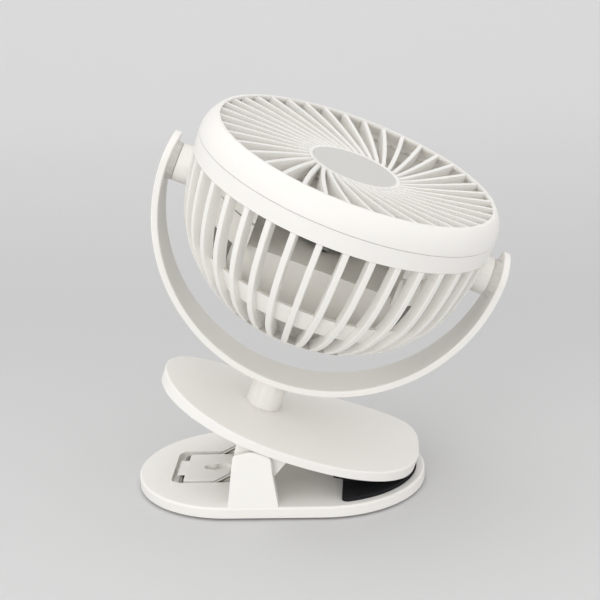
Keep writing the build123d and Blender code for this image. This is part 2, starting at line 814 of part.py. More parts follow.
with BuildPart() as yoke_arm:
    with BuildSketch(along(pivot_plane)):
        Circle(yoke_radius)
        Circle(yoke_inner_radius, mode=Mode.SUBTRACT)
    extrude(amount=yoke_width / 2, both=True)
    # seen from the side, the strip is straight and ends in a half round above the pivot
    with BuildSketch(across(pivot_plane, -yoke_radius)):
        Circle(yoke_width / 2)
        with Locations((0, -yoke_radius)):
            Rectangle(yoke_width, 2 * yoke_radius)
    extrude(amount=2 * yoke_radius, mode=Mode.INTERSECT)
    fillet(yoke_arm.edges(), yoke_edge)
    # post, with the spigot that turns in the upper jaw
    with BuildSketch(post_plane.offset(swivel_seat_gap)):
        Circle(post_diameter / 2)
    extrude(amount=post_length + yoke_thickness / 2 - swivel_seat_gap)
    with BuildSketch(post_plane.offset(washer_top)):
        Circle(swivel_diameter / 2)
    extrude(amount=swivel_seat_gap - washer_top)
    with BuildSketch(post_plane.offset(washer_top)):
        Circle(swivel_screw_diameter / 2)
    extrude(amount=swivel_screw_bite, mode=Mode.SUBTRACT)
    for side in (-1, 1):
        with BuildSketch(across(pivot_plane, side * pivot_seam_x)):
            Circle(boss_diameter / 2)
        extrude(amount=side * (yoke_radius - yoke_thickness / 2 - pivot_seam_x))
        for radius, depth in (
            (pivot_cap_diameter / 2 + fit_gap, cap_floor_x),
            (pivot_head_diameter / 2 + fit_gap, head_floor_x),
            (pivot_screw_diameter / 2 + thread_gap, pivot_seam_x),
        ):
            with BuildSketch(across(pivot_plane, side * depth)):
                Circle(radius)
            extrude(amount=side * (yoke_radius - depth), mode=Mode.SUBTRACT)
save(yoke_arm, "yoke_arm")

with BuildPart() as swivel_washer:
    with BuildSketch(post_plane.offset(washer_bottom)):
        Circle(washer_diameter / 2)
        Circle(swivel_screw_diameter / 2 + fit_gap, mode=Mode.SUBTRACT)
    extrude(amount=washer_thickness)
save(swivel_washer, "swivel_washer")

with BuildPart() as swivel_screw:
    with BuildSketch(post_plane.offset(washer_bottom)):
        Circle(swivel_head_diameter / 2)
    extrude(amount=-swivel_head_height)
    with BuildSketch(post_plane.offset(washer_bottom)):
        Circle(swivel_screw_diameter / 2 - thread_gap)
    extrude(amount=washer_thickness + swivel_screw_bite - fit_gap)
save(swivel_screw, "swivel_screw")

with BuildPart() as pivot_screws:
    for side in (-1, 1):
        with BuildSketch(across(pivot_plane, side * head_floor_x)):
            Circle(pivot_head_diameter / 2)
        extrude(amount=side * pivot_head_height)
        with BuildSketch(across(pivot_plane, side * shank_end_x)):
            Circle(pivot_screw_diameter / 2)
        extrude(amount=side * (head_floor_x - shank_end_x))
save(pivot_screws, "pivot_screws")

with BuildPart() as pivot_nuts:
    for side in (-1, 1):
        with BuildSketch(across(pivot_plane, side * nut_face_x)):
            RegularPolygon(nut_radius, 6)
            Circle(pivot_screw_diameter / 2 + thread_gap, mode=Mode.SUBTRACT)
        extrude(amount=-side * nut_thickness)
save(pivot_nuts, "pivot_nuts")

with BuildPart() as pivot_caps:
    for side in (-1, 1):
        with BuildSketch(across(pivot_plane, side * cap_floor_x)):
            Circle(pivot_cap_diameter / 2)
        extrude(amount=side * pivot_cap_thickness)
save(pivot_caps, "pivot_caps")


# ---- Head ----
head_axis = Axis(head_plane.origin, head_plane.z_dir)


def outward(angle):
    """The way outwards in the head's section, turned down from level by an angle in degrees."""
    return Vector(cos(radians(angle)), -sin(radians(angle)))


shoulder_turn = degrees(asin((front_z - seam_z) / shoulder_bend))
shoulder_centre = Vector(band_radius - shoulder_bend, seam_z)
wall_centre = Vector(band_radius - wall_bend, seam_z)
lower_centre = wall_centre + outward(wall_turn) * (wall_bend - lower_bend)
bowl_arcs = (
    (shoulder_centre, shoulder_bend, -shoulder_turn, 0),
    (wall_centre, wall_bend, 0, wall_turn),
    (lower_centre, lower_bend, wall_turn, lower_turn),
)
front_radius = (shoulder_centre + outward(-shoulder_turn) * shoulder_bend).X
cap_edge = lower_centre + outward(lower_turn) * lower_bend


def bowl_face(inset, low, high):
    """Half of the head's section moved in by inset, between two heights, beside the axis."""
    with BuildLine(Plane.XY) as outline:
        for centre, bend_radius, first, last in bowl_arcs:
            angles = (first, (first + last) / 2, last)
            ThreePointArc(*[centre + outward(angle) * (bend_radius - inset) for angle in angles])
        front = shoulder_centre + outward(-shoulder_turn) * (shoulder_bend - inset)
        rear = lower_centre + outward(lower_turn) * (lower_bend - inset)
        Polyline(front, (front.X, 2 * front_z), (0, 2 * front_z), (0, 2 * cap_bottom_z),
                 (rear.X, 2 * cap_bottom_z), rear)
    with BuildSketch(Plane.XY, mode=Mode.PRIVATE) as face:
        make_face(outline.edges())
        with Locations((band_radius, (low + high) / 2)):
            Rectangle(2 * band_radius, high - low, mode=Mode.INTERSECT)
    return face.sketch


def bowl_wall(outer_inset, inner_inset, low, high):
    """A section of wall that follows the head's outline between two insets and two heights."""
    with BuildSketch(Plane.XY, mode=Mode.PRIVATE) as wall:
        add(bowl_face(outer_inset, low, high))
        add(bowl_face(inner_inset, low, high), mode=Mode.SUBTRACT)
    return wall.sketch


def ring_section(inner, outer, low, high, mode=Mode.ADD):
    """A plain ring's section, in the active sketch."""
    with Locations(((inner + outer) / 2, (low + high) / 2)):
        Rectangle(outer - inner, high - low, mode=mode)


rib_low = bowl_bottom_z + rim_height / 2
rib_high = band_bottom_z + ledge_thickness / 2
floor_bottom = floor_z - floor_thickness
band_mid_radius = band_radius - band_wall / 2
lip_radius = band_radius - band_wall - lip_fit
lip_top = seam_z + lip_height
cap_seat_z = bowl_bottom_z + cap_seat_rise
cap_head_z = cap_seat_z - cap_seat_web
cap_boss_places = [(x, y) for x in (-cap_screw_x, cap_screw_x) for y in (-cap_screw_y, cap_screw_y)]
board_boss_places = [(x, y) for x in (-board_screw_x, board_screw_x) for y in (-board_screw_y, board_screw_y)]
pod_boss_places = [(-pod_screw_x, 0), (pod_screw_x, 0)]

with BuildPart() as rib:
    with BuildSketch(along(Plane.XY)):
        add(bowl_wall(rib_setback, rib_depth, rib_low, rib_high))
    extrude(amount=rib_width / 2, both=True)

# what the cage carries: walls and bosses at the pivots, side panels, posts
with BuildPart() as pivot_walls:
    with BuildSketch(along(head_plane)):
        add(bowl_wall(pivot_wall_setback, pivot_wall, -pivot_wall_drop, rib_high))
    revolve(axis=head_axis)
    with BuildSketch(head_plane.offset(-pivot_wall_drop)):
        Rectangle(3 * band_radius, pivot_wall_width)
    extrude(amount=pivot_wall_drop + rib_high, mode=Mode.INTERSECT)

with BuildPart() as cage_fittings:
    add(pivot_walls.part)
    for side in (-1, 1):
        with BuildSketch(across(head_plane, side * boss_inner_x)):
            Circle(boss_diameter / 2)
        extrude(amount=side * (boss_face_x - boss_inner_x))
    with BuildSketch(head_plane.offset(side_gap_top)):
        Circle(side_wall_radius + side_wall_thickness)
        Circle(side_wall_radius, mode=Mode.SUBTRACT)
        Rectangle(2 * side_wall_x, 3 * band_radius, mode=Mode.SUBTRACT)
    extrude(amount=rib_high - side_gap_top)
    with BuildSketch(head_plane.offset(floor_bottom + floor_thickness / 2)):
        with Locations(*cap_boss_places):
            Circle(screw_diameter / 2 + boss_wall)
    extrude(amount=cap_seat_z - floor_bottom - floor_thickness / 2)
    with BuildSketch(head_plane.offset(floor_bottom + floor_thickness / 2)):
        with Locations(*board_boss_places):
            Circle(screw_diameter / 2 + board_boss_wall)
    extrude(amount=board_z - floor_bottom - floor_thickness / 2)

# what is cut from it: pivot bores and nut pockets, screw holes and the cable hole
with BuildPart() as cage_holes:
    for side in (-1, 1):
        for radius, face_x, depth in (
            (bush_radius, boss_face_x, bush_length),
            (pivot_screw_diameter / 2 + bush_stop_clear, boss_face_x, boss_face_x - nut_face_x),
            (nut_radius + fit_gap, nut_face_x + fit_gap, nut_face_x + fit_gap - ledge_radius),
        ):
            with BuildSketch(across(head_plane, side * face_x)):
                Circle(radius)
            extrude(amount=-side * depth)
    with BuildSketch(head_plane.offset(cap_seat_z)):
        with Locations(*cap_boss_places):
            Circle(screw_diameter / 2)
    extrude(amount=cap_screw_bite)
    with BuildSketch(head_plane.offset(board_z)):
        with Locations(*board_boss_places):
            Circle(screw_diameter / 2)
    extrude(amount=board_screw_bite)
    with BuildSketch(head_plane.offset(floor_bottom)):
        with Locations(*pod_boss_places):
            Circle(screw_diameter / 2 + fit_gap)
        Circle(cable_hole / 2)
    extrude(amount=floor_thickness)

with BuildPart() as rear_cage:
    with BuildSketch(along(head_plane)):
        # band with its lip, and the ledge that is the mouth of the blower
        add(bowl_wall(0, band_wall, band_bottom_z, seam_z))
        ring_section(lip_radius - lip_wall, lip_radius, seam_z - lip_height, lip_top)
        ring_section(lip_radius - lip_wall, band_mid_radius, seam_z - lip_height, seam_z - lip_height / 2)
        ring_section(ledge_radius, band_mid_radius, band_bottom_z, band_bottom_z + ledge_thickness)
        # set-back ring, floor, drum of the control space and bottom rim
        add(bowl_wall(ring_inset, ring_inset + ring_wall, floor_bottom, ring_top_z))
        add(bowl_face(ring_inset + ring_wall / 2, floor_bottom, floor_z))
        ring_section(drum_radius - drum_wall, drum_radius, bowl_bottom_z, floor_bottom)
        add(bowl_face(0, bowl_bottom_z, bowl_bottom_z + rim_height))
        ring_section(0, drum_radius - drum_wall, bowl_bottom_z, bowl_bottom_z + rim_height, Mode.SUBTRACT)
    revolve(axis=head_axis)
    # ribs, one of them on each pivot
    with Locations(head_plane):
        with PolarLocations(0, rib_count):
            add(rib.part)
    add(cage_fittings.part)
    add(cage_holes.part, mode=Mode.SUBTRACT)
save(rear_cage, "rear_cage")


# ---- Front grille ----
def vane_edge(shift):
    """Three points along one side of a vane, from the rim in to the hub."""
    rim_end = front_radius - rim_wall / 2
    hub_end = hub_radius - hub_wall / 2
    points = []
    for inward in (0, 0.5, 1):
        radius = rim_end + (hub_end - rim_end) * inward
        sweep_back = -radians(vane_sweep) * inward**2
        points.append((radius * cos(sweep_back) - shift * sin(sweep_back),
                       radius * sin(sweep_back) + shift * cos(sweep_back)))
    return points


def vane_outline():
    """One curved vane seen from the front."""
    with BuildLine(Plane.XY) as sides:
        left = ThreePointArc(*vane_edge(vane_thickness / 2))
        right = ThreePointArc(*vane_edge(-vane_thickness / 2))
        Line(left @ 0, right @ 0)
        Line(left @ 1, right @ 1)
    with BuildSketch(Plane.XY, mode=Mode.PRIVATE) as vane:
        make_face(sides.edges())
    return vane.sketch


grille_foot_z = seam_z + seam_line
with BuildPart() as vanes:
    with BuildSketch(along(head_plane)):
        with BuildLine():
            Polyline((hub_radius - hub_wall / 2, hub_z - vane_drop), (front_radius, vane_rim_z),
                     (front_radius, vane_rim_z - vane_depth),
                     (hub_radius - hub_wall / 2, hub_z - vane_drop - vane_depth), close=True)
        make_face()
    revolve(axis=head_axis)
    with BuildSketch(head_plane.offset(grille_foot_z)):
        with PolarLocations(0, vane_count):
            add(vane_outline())
    extrude(amount=front_z - grille_foot_z, mode=Mode.INTERSECT)

with BuildPart() as front_grille:
    with BuildSketch(along(head_plane)):
        add(bowl_wall(0, rim_wall, grille_foot_z, front_z))
        ring_section(lip_radius - lip_wall, band_mid_radius, lip_top, lip_top + rim_wall)
        ring_section(hub_radius - hub_wall, hub_radius, hub_z - hub_depth, hub_z)
        badge_seat_z = hub_z - badge_thickness
        ring_section(0, hub_radius - hub_wall / 2, badge_seat_z - hub_wall, badge_seat_z)
    revolve(axis=head_axis)
    add(vanes.part)
    with BuildSketch(head_plane.offset(badge_seat_z)):
        Circle(badge_radius + badge_fit)
    extrude(amount=badge_thickness, mode=Mode.SUBTRACT)
save(front_grille, "front_grille")

with BuildPart() as hub_badge:
    with BuildSketch(head_plane.offset(badge_seat_z)):
        Circle(badge_radius)
    extrude(amount=badge_thickness)
save(hub_badge, "hub_badge")

with BuildPart() as pivot_bushes:
    for side in (-1, 1):
        with BuildSketch(across(head_plane, side * boss_face_x)):
            Circle(bush_radius - thread_gap)
            Circle(pivot_screw_diameter / 2 + pin_fit, mode=Mode.SUBTRACT)
        extrude(amount=-side * bush_length)
save(pivot_bushes, "pivot_bushes")


# ---- Battery housing and cells ----
wing_floor_z = pod_top_z - pod_wall
wing_radius = side_wall_radius


def pod_block(inset, top_drop):
    """The housing's block, moved in by inset, trimmed to the inside of the bowl."""
    with BuildPart(mode=Mode.PRIVATE) as block:
        with BuildSketch(head_plane.offset(floor_z)):
            RectangleRounded(2 * (pod_half_length - inset), 2 * (pod_half_width - inset), pod_corner)
        extrude(amount=pod_top_z - top_drop - floor_z)
        with BuildSketch(head_plane.offset(wing_floor_z)):
            Circle(wing_radius - inset)
            Rectangle(2 * (side_wall_x + inset), 3 * wing_radius, mode=Mode.SUBTRACT)
        extrude(amount=side_gap_bottom - top_drop - wing_floor_z)
        with BuildSketch(along(head_plane)):
            add(bowl_face(rib_depth + pod_gap + inset, floor_z, band_bottom_z))
        revolve(axis=head_axis, mode=Mode.INTERSECT)
    return block.part


pod_outer = pod_block(0, 0)
pod_inner = pod_block(pod_wall, pod_wall)

with BuildPart() as battery_housing:
    add(pod_outer)
    add(pod_inner, mode=Mode.SUBTRACT)
    with BuildSketch(head_plane.offset(floor_z)):
        with Locations(*pod_boss_places):
            Circle(screw_diameter / 2 + boss_wall)
    extrude(amount=pod_top_z - pod_wall / 2 - floor_z)
    with BuildSketch(head_plane.offset(floor_z)):
        with Locations(*pod_boss_places):
            Circle(screw_diameter / 2)
    extrude(amount=pod_screw_bite, mode=Mode.SUBTRACT)
    with BuildSketch(head_plane.offset(pod_top_z)):
        with PolarLocations(motor_screw_radius, motor_screw_count):
            Circle(screw_diameter / 2)
        with Locations((0, motor_cable_y)):
            Circle(cable_hole / 2)
    extrude(amount=-pod_wall, mode=Mode.SUBTRACT)
save(battery_housing, "battery_housing")

cell_z = floor_z + (pod_top_z - pod_wall - floor_z) / 2
with BuildPart() as battery_cells:
    for side in (-1, 1):
        with BuildSketch(across(head_plane, -cell_length / 2)):
            with Locations((side * cell_y, cell_z)):
                Circle(cell_diameter / 2)
        extrude(amount=cell_length)
save(battery_cells, "battery_cells")

contact_back_x = pod_half_length - pod_wall - fit_gap
with BuildPart() as battery_contacts:
    for end in (-1, 1):
        with BuildSketch(across(head_plane, end * contact_back_x)):
            with Locations((-cell_y, cell_z), (cell_y, cell_z)):
                Rectangle(contact_size, contact_size)
        extrude(amount=-end * contact_thickness)
        with BuildSketch(across(head_plane, end * contact_back_x)):
            with Locations((-cell_y, cell_z), (cell_y, cell_z)):
                Circle(contact_size / 4)
        extrude(amount=-end * (contact_back_x - cell_length / 2 - thread_gap))
save(battery_contacts, "battery_contacts")


# ---- Motor ----
motor_foot_z = pod_top_z
base_plate_top = motor_foot_z + motor_plate_thickness
cup_top_z = impeller_hub_top_z - impeller_wall
cup_low_z = cup_top_z - motor_height
stator_low_z = cup_low_z + motor_gap
stator_top_z = cup_top_z - motor_wall - motor_gap
shaft_low_z = motor_foot_z + thread_gap

with BuildPart() as motor_base:
    with BuildSketch(head_plane.offset(motor_foot_z)):
        Circle(motor_screw_radius + screw_head_diameter / 2 + boss_wall)
        with PolarLocations(motor_screw_radius, motor_screw_count):
            Circle(screw_diameter / 2 + fit_gap, mode=Mode.SUBTRACT)
        with Locations((0, motor_cable_y)):
            Circle(cable_hole / 2, mode=Mode.SUBTRACT)
    extrude(amount=motor_plate_thickness)
    with BuildSketch(head_plane.offset(base_plate_top)):
        Circle(bearing_tube_radius + motor_wall)
    extrude(amount=stator_low_z - base_plate_top)
    with BuildSketch(head_plane.offset(stator_low_z)):
        Circle(bearing_tube_radius)
    extrude(amount=stator_top_z - stator_low_z)
    with BuildSketch(head_plane.offset(motor_foot_z)):
        Circle(shaft_diameter / 2 + shaft_fit)
    extrude(amount=stator_top_z - motor_foot_z, mode=Mode.SUBTRACT)
save(motor_base, "motor_base")

tooth_start = bearing_tube_radius + boss_wall / 2
tooth_end = stator_radius - tooth_tip / 2
with BuildPart() as motor_stator:
    with BuildSketch(head_plane.offset(stator_low_z)):
        Circle(stator_radius)
        Circle(stator_radius - tooth_tip, mode=Mode.SUBTRACT)
        with PolarLocations(stator_radius, slot_count):
            Rectangle(4 * tooth_tip, slot_opening, mode=Mode.SUBTRACT)
        Circle(stator_core_radius)
        Circle(bearing_tube_radius + thread_gap, mode=Mode.SUBTRACT)
        with PolarLocations((tooth_start + tooth_end) / 2, slot_count, start_angle=180 / slot_count):
            Rectangle(tooth_end - tooth_start, tooth_width)
    extrude(amount=stator_top_z - motor_gap - stator_low_z)
save(motor_stator, "motor_stator")

with BuildPart() as motor_coils:
    coil_middle = (stator_core_radius + stator_radius - tooth_tip) / 2
    coil_length = stator_radius - tooth_tip - stator_core_radius - 2 * thread_gap - coil_build
    with BuildSketch(head_plane.offset(stator_low_z - coil_build)):
        with PolarLocations(coil_middle, slot_count, start_angle=180 / slot_count):
            Rectangle(coil_length, tooth_width + 2 * coil_build)
    extrude(amount=stator_top_z - motor_gap - stator_low_z + 2 * coil_build)
    with BuildSketch(head_plane.offset(stator_low_z - thread_gap)):
        with PolarLocations(coil_middle, slot_count, start_angle=180 / slot_count):
            Rectangle(2 * coil_length, tooth_width + 2 * thread_gap)
    extrude(amount=stator_top_z - motor_gap - stator_low_z + 2 * thread_gap, mode=Mode.SUBTRACT)
save(motor_coils, "motor_coils")

with BuildPart() as motor_rotor:
    with BuildSketch(head_plane.offset(cup_low_z)):
        Circle(motor_diameter / 2)
    extrude(amount=motor_height)
    with BuildSketch(head_plane.offset(cup_low_z)):
        Circle(motor_diameter / 2 - motor_wall)
    extrude(amount=motor_height - motor_wall, mode=Mode.SUBTRACT)
    with BuildSketch(head_plane.offset(cup_top_z)):
        Circle(shaft_diameter / 2 + thread_gap)
    extrude(amount=-motor_wall, mode=Mode.SUBTRACT)
save(motor_rotor, "motor_rotor")

with BuildPart() as motor_magnet:
    with BuildSketch(head_plane.offset(cup_low_z + magnet_setback)):
        Circle(motor_diameter / 2 - motor_wall - thread_gap)
        Circle(stator_radius + air_gap, mode=Mode.SUBTRACT)
    extrude(amount=motor_height - motor_wall - magnet_setback)
save(motor_magnet, "motor_magnet")

with BuildPart() as motor_shaft:
    with BuildSketch(head_plane.offset(shaft_low_z)):
        Circle(shaft_diameter / 2)
    extrude(amount=impeller_hub_top_z - impeller_wall + shaft_socket - fit_gap - shaft_low_z)
save(motor_shaft, "motor_shaft")

motor_screw_turns = [2 * pi * step / motor_screw_count for step in range(motor_screw_count)]
motor_screw_places = [
    (motor_screw_radius * cos(turn), -motor_screw_radius * sin(turn)) for turn in motor_screw_turns
]
downwards = Plane(origin=head_plane.origin, x_dir=head_plane.x_dir, z_dir=head_plane.z_dir * -1)
screw(downwards.offset(-base_plate_top), motor_screw_places, screw_head_diameter, screw_head_height,
      screw_diameter - 2 * thread_gap, motor_plate_thickness + pod_wall - fit_gap, "motor_screws")


# ---- Impeller ----
def blade_section(radius, chord, pitch):
    """A thin cambered blade section seen from outside, on a plane at a radius from the axis."""
    plane = Plane(origin=(radius, 0, blade_mid_z), x_dir=(0, 1, 0), z_dir=(1, 0, 0))
    with BuildSketch(plane.rotated((0, 0, pitch)), mode=Mode.PRIVATE) as section:
        with BuildLine():
            ThreePointArc((-chord / 2, 0), (0, blade_camber), (chord / 2, 0))
            ThreePointArc((chord / 2, 0), (0, blade_camber - blade_thickness), (-chord / 2, 0))
        make_face()
    return section.sketch


blade_sections = [
    blade_section(blade_root_radius, blade_root_chord, blade_root_pitch),
    blade_section(blade_middle_radius, blade_middle_chord, blade_middle_pitch),
    blade_section(impeller_radius + blade_thickness, blade_tip_chord, blade_tip_pitch),
]
with BuildPart() as blade:
    loft(blade_sections)

hub_outer_radius = impeller_hub_diameter / 2
sleeve_radius = motor_diameter / 2 + pin_fit
with BuildPart() as impeller:
    with Locations(head_plane):
        with PolarLocations(0, blade_count):
            add(blade.part)
    with BuildSketch(head_plane.offset(blade_low_z)):
        Circle(impeller_radius)
        Circle(hub_outer_radius - impeller_wall / 2, mode=Mode.SUBTRACT)
    extrude(amount=blade_high_z - blade_low_z, mode=Mode.INTERSECT)
    with BuildSketch(along(head_plane)):
        with Locations((0, (impeller_hub_top_z + impeller_hub_bottom_z) / 2)):
            RectangleRounded(2 * hub_outer_radius, impeller_hub_top_z - impeller_hub_bottom_z, hub_rounding)
        ring_section(-2 * hub_outer_radius, 0, impeller_hub_bottom_z, impeller_hub_top_z, Mode.SUBTRACT)
        ring_section(0, hub_outer_radius - impeller_wall, impeller_hub_bottom_z, cup_top_z, Mode.SUBTRACT)
        ring_section(sleeve_radius, sleeve_radius + impeller_wall, cup_top_z - sleeve_height, cup_top_z)
    revolve(axis=head_axis)
    with BuildSketch(head_plane.offset(cup_top_z)):
        Circle(shaft_diameter / 2 + thread_gap)
    extrude(amount=shaft_socket, mode=Mode.SUBTRACT)
save(impeller, "impeller")


# ---- Control board, port, light, button and rear cap ----
board_bottom_z = board_z - board_thickness
cap_inner_z = cap_bottom_z + cap_wall

with BuildPart() as control_board:
    with BuildSketch(head_plane.offset(board_bottom_z)):
        Rectangle(board_width, board_length)
        with Locations(*board_boss_places):
            Circle(screw_diameter / 2 + fit_gap, mode=Mode.SUBTRACT)
    extrude(amount=board_thickness)
save(control_board, "control_board")

screw(head_plane.offset(board_bottom_z), board_boss_places, screw_head_diameter, screw_head_height,
      screw_diameter - 2 * thread_gap, board_thickness + board_screw_bite - fit_gap, "board_screws")

with BuildPart() as charge_port:
    with BuildSketch(head_plane.offset(board_bottom_z)):
        with Locations((0, port_y)):
            RectangleRounded(port_width, port_height, port_corner)
    extrude(amount=-port_length)
    with BuildSketch(head_plane.offset(board_bottom_z - port_length)):
        with Locations((0, port_y)):
            RectangleRounded(port_width - 2 * port_wall, port_height - 2 * port_wall, port_corner - port_wall)
            Rectangle(port_width - port_tongue_gap, port_tongue_thickness, mode=Mode.SUBTRACT)
    extrude(amount=port_length - port_wall, mode=Mode.SUBTRACT)
save(charge_port, "charge_port")

with BuildPart() as power_light:
    with BuildSketch(head_plane.offset(board_bottom_z)):
        with Locations((led_x, 0)):
            Circle(led_diameter / 2)
    extrude(amount=-(board_bottom_z - led_tip_z))
save(power_light, "power_light")

with BuildPart() as button_switch:
    with BuildSketch(head_plane.offset(board_bottom_z)):
        Rectangle(switch_size, switch_size)
    extrude(amount=-switch_height)
    with BuildSketch(head_plane.offset(board_bottom_z - switch_height)):
        Circle(switch_size / 4)
    extrude(amount=-switch_plunger)
save(button_switch, "button_switch")

button_flange_z = cap_inner_z + pads_gap
button_tip_z = cap_bottom_z - button_proud
plunger_tip_z = board_bottom_z - switch_height - switch_plunger
with BuildPart() as power_button:
    with BuildSketch(head_plane.offset(button_tip_z)):
        Circle(button_diameter / 2)
    extrude(amount=button_flange_z - button_tip_z)
    fillet(power_button.faces().sort_by(head_axis)[0].edges(), button_edge)
    with BuildSketch(head_plane.offset(button_flange_z)):
        Circle(button_diameter / 2 + button_flange)
    extrude(amount=button_flange_thickness)
    # stem that reaches the switch at full travel
    with BuildSketch(head_plane.offset(button_flange_z)):
        Circle(button_stem_radius)
    extrude(amount=plunger_tip_z - button_travel - fit_gap - button_flange_z)
save(power_button, "power_button")

with BuildPart() as rear_cap:
    with BuildSketch(along(head_plane)):
        add(bowl_face(0, cap_edge.Y, bowl_bottom_z))
        with BuildLine():
            ThreePointArc(cap_edge, (0, cap_bottom_z), (-cap_edge.X, cap_edge.Y))
            Line((-cap_edge.X, cap_edge.Y), cap_edge)
        make_face()
        ring_section(-cap_edge.X, 0, cap_bottom_z, cap_edge.Y, Mode.SUBTRACT)
        ring_section(0, cap_hollow_radius, cap_inner_z, bowl_bottom_z, Mode.SUBTRACT)
        ring_section(drum_radius - drum_wall - fit_gap - lip_wall, drum_radius - drum_wall - fit_gap,
                     cap_edge.Y, bowl_bottom_z + rim_height / 2)
    revolve(axis=head_axis)
    with BuildSketch(head_plane.offset(cap_seat_z)):
        with Locations(*cap_boss_places):
            Circle(screw_head_diameter / 2 + boss_wall)
    extrude(amount=cap_inner_z - cap_seat_z)
    with BuildSketch(head_plane.offset(cap_head_z)):
        with Locations(*cap_boss_places):
            Circle(screw_head_diameter / 2 + fit_gap)
    extrude(amount=cap_bottom_z - cap_head_z, mode=Mode.SUBTRACT)
    with BuildSketch(head_plane.offset(cap_seat_z)):
        with Locations(*cap_boss_places):
            Circle(screw_diameter / 2 + fit_gap)
    extrude(amount=-cap_seat_web, mode=Mode.SUBTRACT)
    with BuildSketch(head_plane.offset(bowl_bottom_z)):
        Circle(button_diameter / 2 + button_gap)
        with Locations((led_x, 0)):
            Circle(led_diameter / 2 + fit_gap)
        with Locations((0, port_y)):
            RectangleRounded(port_width + 2 * button_gap, port_height + 2 * button_gap,
                             port_corner + button_gap)
    extrude(amount=2 * (cap_bottom_z - bowl_bottom_z), mode=Mode.SUBTRACT)
save(rear_cap, "rear_cap")

screw(head_plane.offset(cap_head_z), cap_boss_places, screw_head_diameter, screw_head_height,
      screw_diameter - 2 * thread_gap, cap_seat_web + cap_screw_bite - fit_gap, "cap_screws")
screw(head_plane.offset(floor_bottom), pod_boss_places, screw_head_diameter, screw_head_height,
      screw_diameter - 2 * thread_gap, floor_thickness + pod_screw_bite - fit_gap, "housing_screws")
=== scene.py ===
import json
from math import asin, atan2, cos, pi, radians, sin, sqrt, tan

import bmesh
import bpy
from bpy.props import FloatProperty, FloatVectorProperty, IntProperty, PointerProperty
from mathutils import Matrix, Vector


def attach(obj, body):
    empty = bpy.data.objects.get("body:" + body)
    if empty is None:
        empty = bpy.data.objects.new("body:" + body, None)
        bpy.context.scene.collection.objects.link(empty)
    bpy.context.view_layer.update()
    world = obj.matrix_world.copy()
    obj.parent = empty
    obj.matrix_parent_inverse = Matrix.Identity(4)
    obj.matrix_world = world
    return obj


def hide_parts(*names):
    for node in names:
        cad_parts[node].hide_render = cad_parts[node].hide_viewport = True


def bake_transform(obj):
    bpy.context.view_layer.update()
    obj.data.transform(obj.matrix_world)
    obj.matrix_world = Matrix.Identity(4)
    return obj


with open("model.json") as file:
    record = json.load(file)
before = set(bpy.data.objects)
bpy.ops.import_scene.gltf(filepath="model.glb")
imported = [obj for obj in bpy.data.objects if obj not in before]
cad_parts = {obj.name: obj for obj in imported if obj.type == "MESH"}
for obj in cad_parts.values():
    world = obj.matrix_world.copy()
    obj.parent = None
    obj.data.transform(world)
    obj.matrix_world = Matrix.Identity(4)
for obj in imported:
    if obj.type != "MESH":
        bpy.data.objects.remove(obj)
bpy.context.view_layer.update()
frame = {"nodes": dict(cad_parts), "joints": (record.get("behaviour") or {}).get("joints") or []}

bl_info = {
    "name": "Clip Fan",
    "version": (1, 0, 0),
    "blender": (4, 5, 0),
    "location": "View3D > Sidebar > Clip Fan",
    "description": "Finishes the clip fan's plastic, foam, wire and metal pieces and lights them",
    "category": "Object",
}

MM = 0.001
JOINTS = {joint["name"]: joint for joint in frame["joints"]}

# ---- Meshes ----
# Points that lie nearer are one point, and shorter edges are slivers.
JOIN_DISTANCE = 0.002 * MM
SLIVER_LENGTH = 0.001 * MM
# Triangles that turn less against each other are one flat face.
FLAT_TURN = radians(1.0)
# Edges that turn more are shaded sharp.
SHARP_TURN = radians(28.0)
BOWL_SHARP_TURN = radians(14.0)
PLATE_SHARP_TURN = radians(12.0)
WIRE_SHARP_TURN = radians(50.0)
# Edges that turn more are rounded.
CORNER_TURN = radians(40.0)
EAR_CORNER_TURN = radians(50.0)
ROUNDING_STEPS = 3
EVEN_SHADING_WEIGHT = 80

# ---- The lower jaw's ears: only edges above their foot and outside this distance are rounded ----
EAR_FOOT = 6.3 * MM
EAR_INNER = 37.0 * MM

# ---- The upper jaw that the spring's legs press on, with the sizes of part.py ----
JAW_TILT = radians(20.1)
JAW_MIDDLE = Vector((2.75, 0.0, 25.8)) * MM
JAW_HALF_LENGTH = 59.0 * MM
JAW_END_RISE = 4.4 * MM
JAW_PLATE_LIFT = 0.25 * MM
WIRE_SEAT_GAP = 0.05 * MM
COIL_STEPS = 28
BEND_STEPS = 6
WIRE_ROUNDNESS = 4

# ---- The bowl's outline in the head's frame, with the sizes of part.py ----
# A wall arc and a lower arc meet smoothly. Turns count from the seam's plane.
BAND_RADIUS = 66.4 * MM
SEAM_HEIGHT = 18.8 * MM
WALL_BEND = 137.0 * MM
WALL_TURN = radians(11.7)
LOWER_BEND = 54.0 * MM
LOWER_TURN = radians(66.0)
RIB_TOP_TURN = radians(3.2)
WALL_CENTRE = Vector((BAND_RADIUS - WALL_BEND, SEAM_HEIGHT))
WALL_END_WAY = Vector((cos(WALL_TURN), -sin(WALL_TURN)))
LOWER_CENTRE = WALL_CENTRE + (WALL_BEND - LOWER_BEND) * WALL_END_WAY

# ---- The vanes in the head's frame, with the sizes of part.py ----
FRONT_RADIUS = 62.0 * MM
RIM_END = 61.0 * MM
HUB_END = 19.4 * MM
RIM_TOP = 28.95 * MM
HUB_TOP = 24.8 * MM
VANE_SWEEP = radians(31.0)

# ---- Rounded strips on ribs and vanes ----
# They lie this far in front of the plain edges that they cover.
SKIN = 0.06 * MM
RIB_CUTS = 18
VANE_CUTS = 16

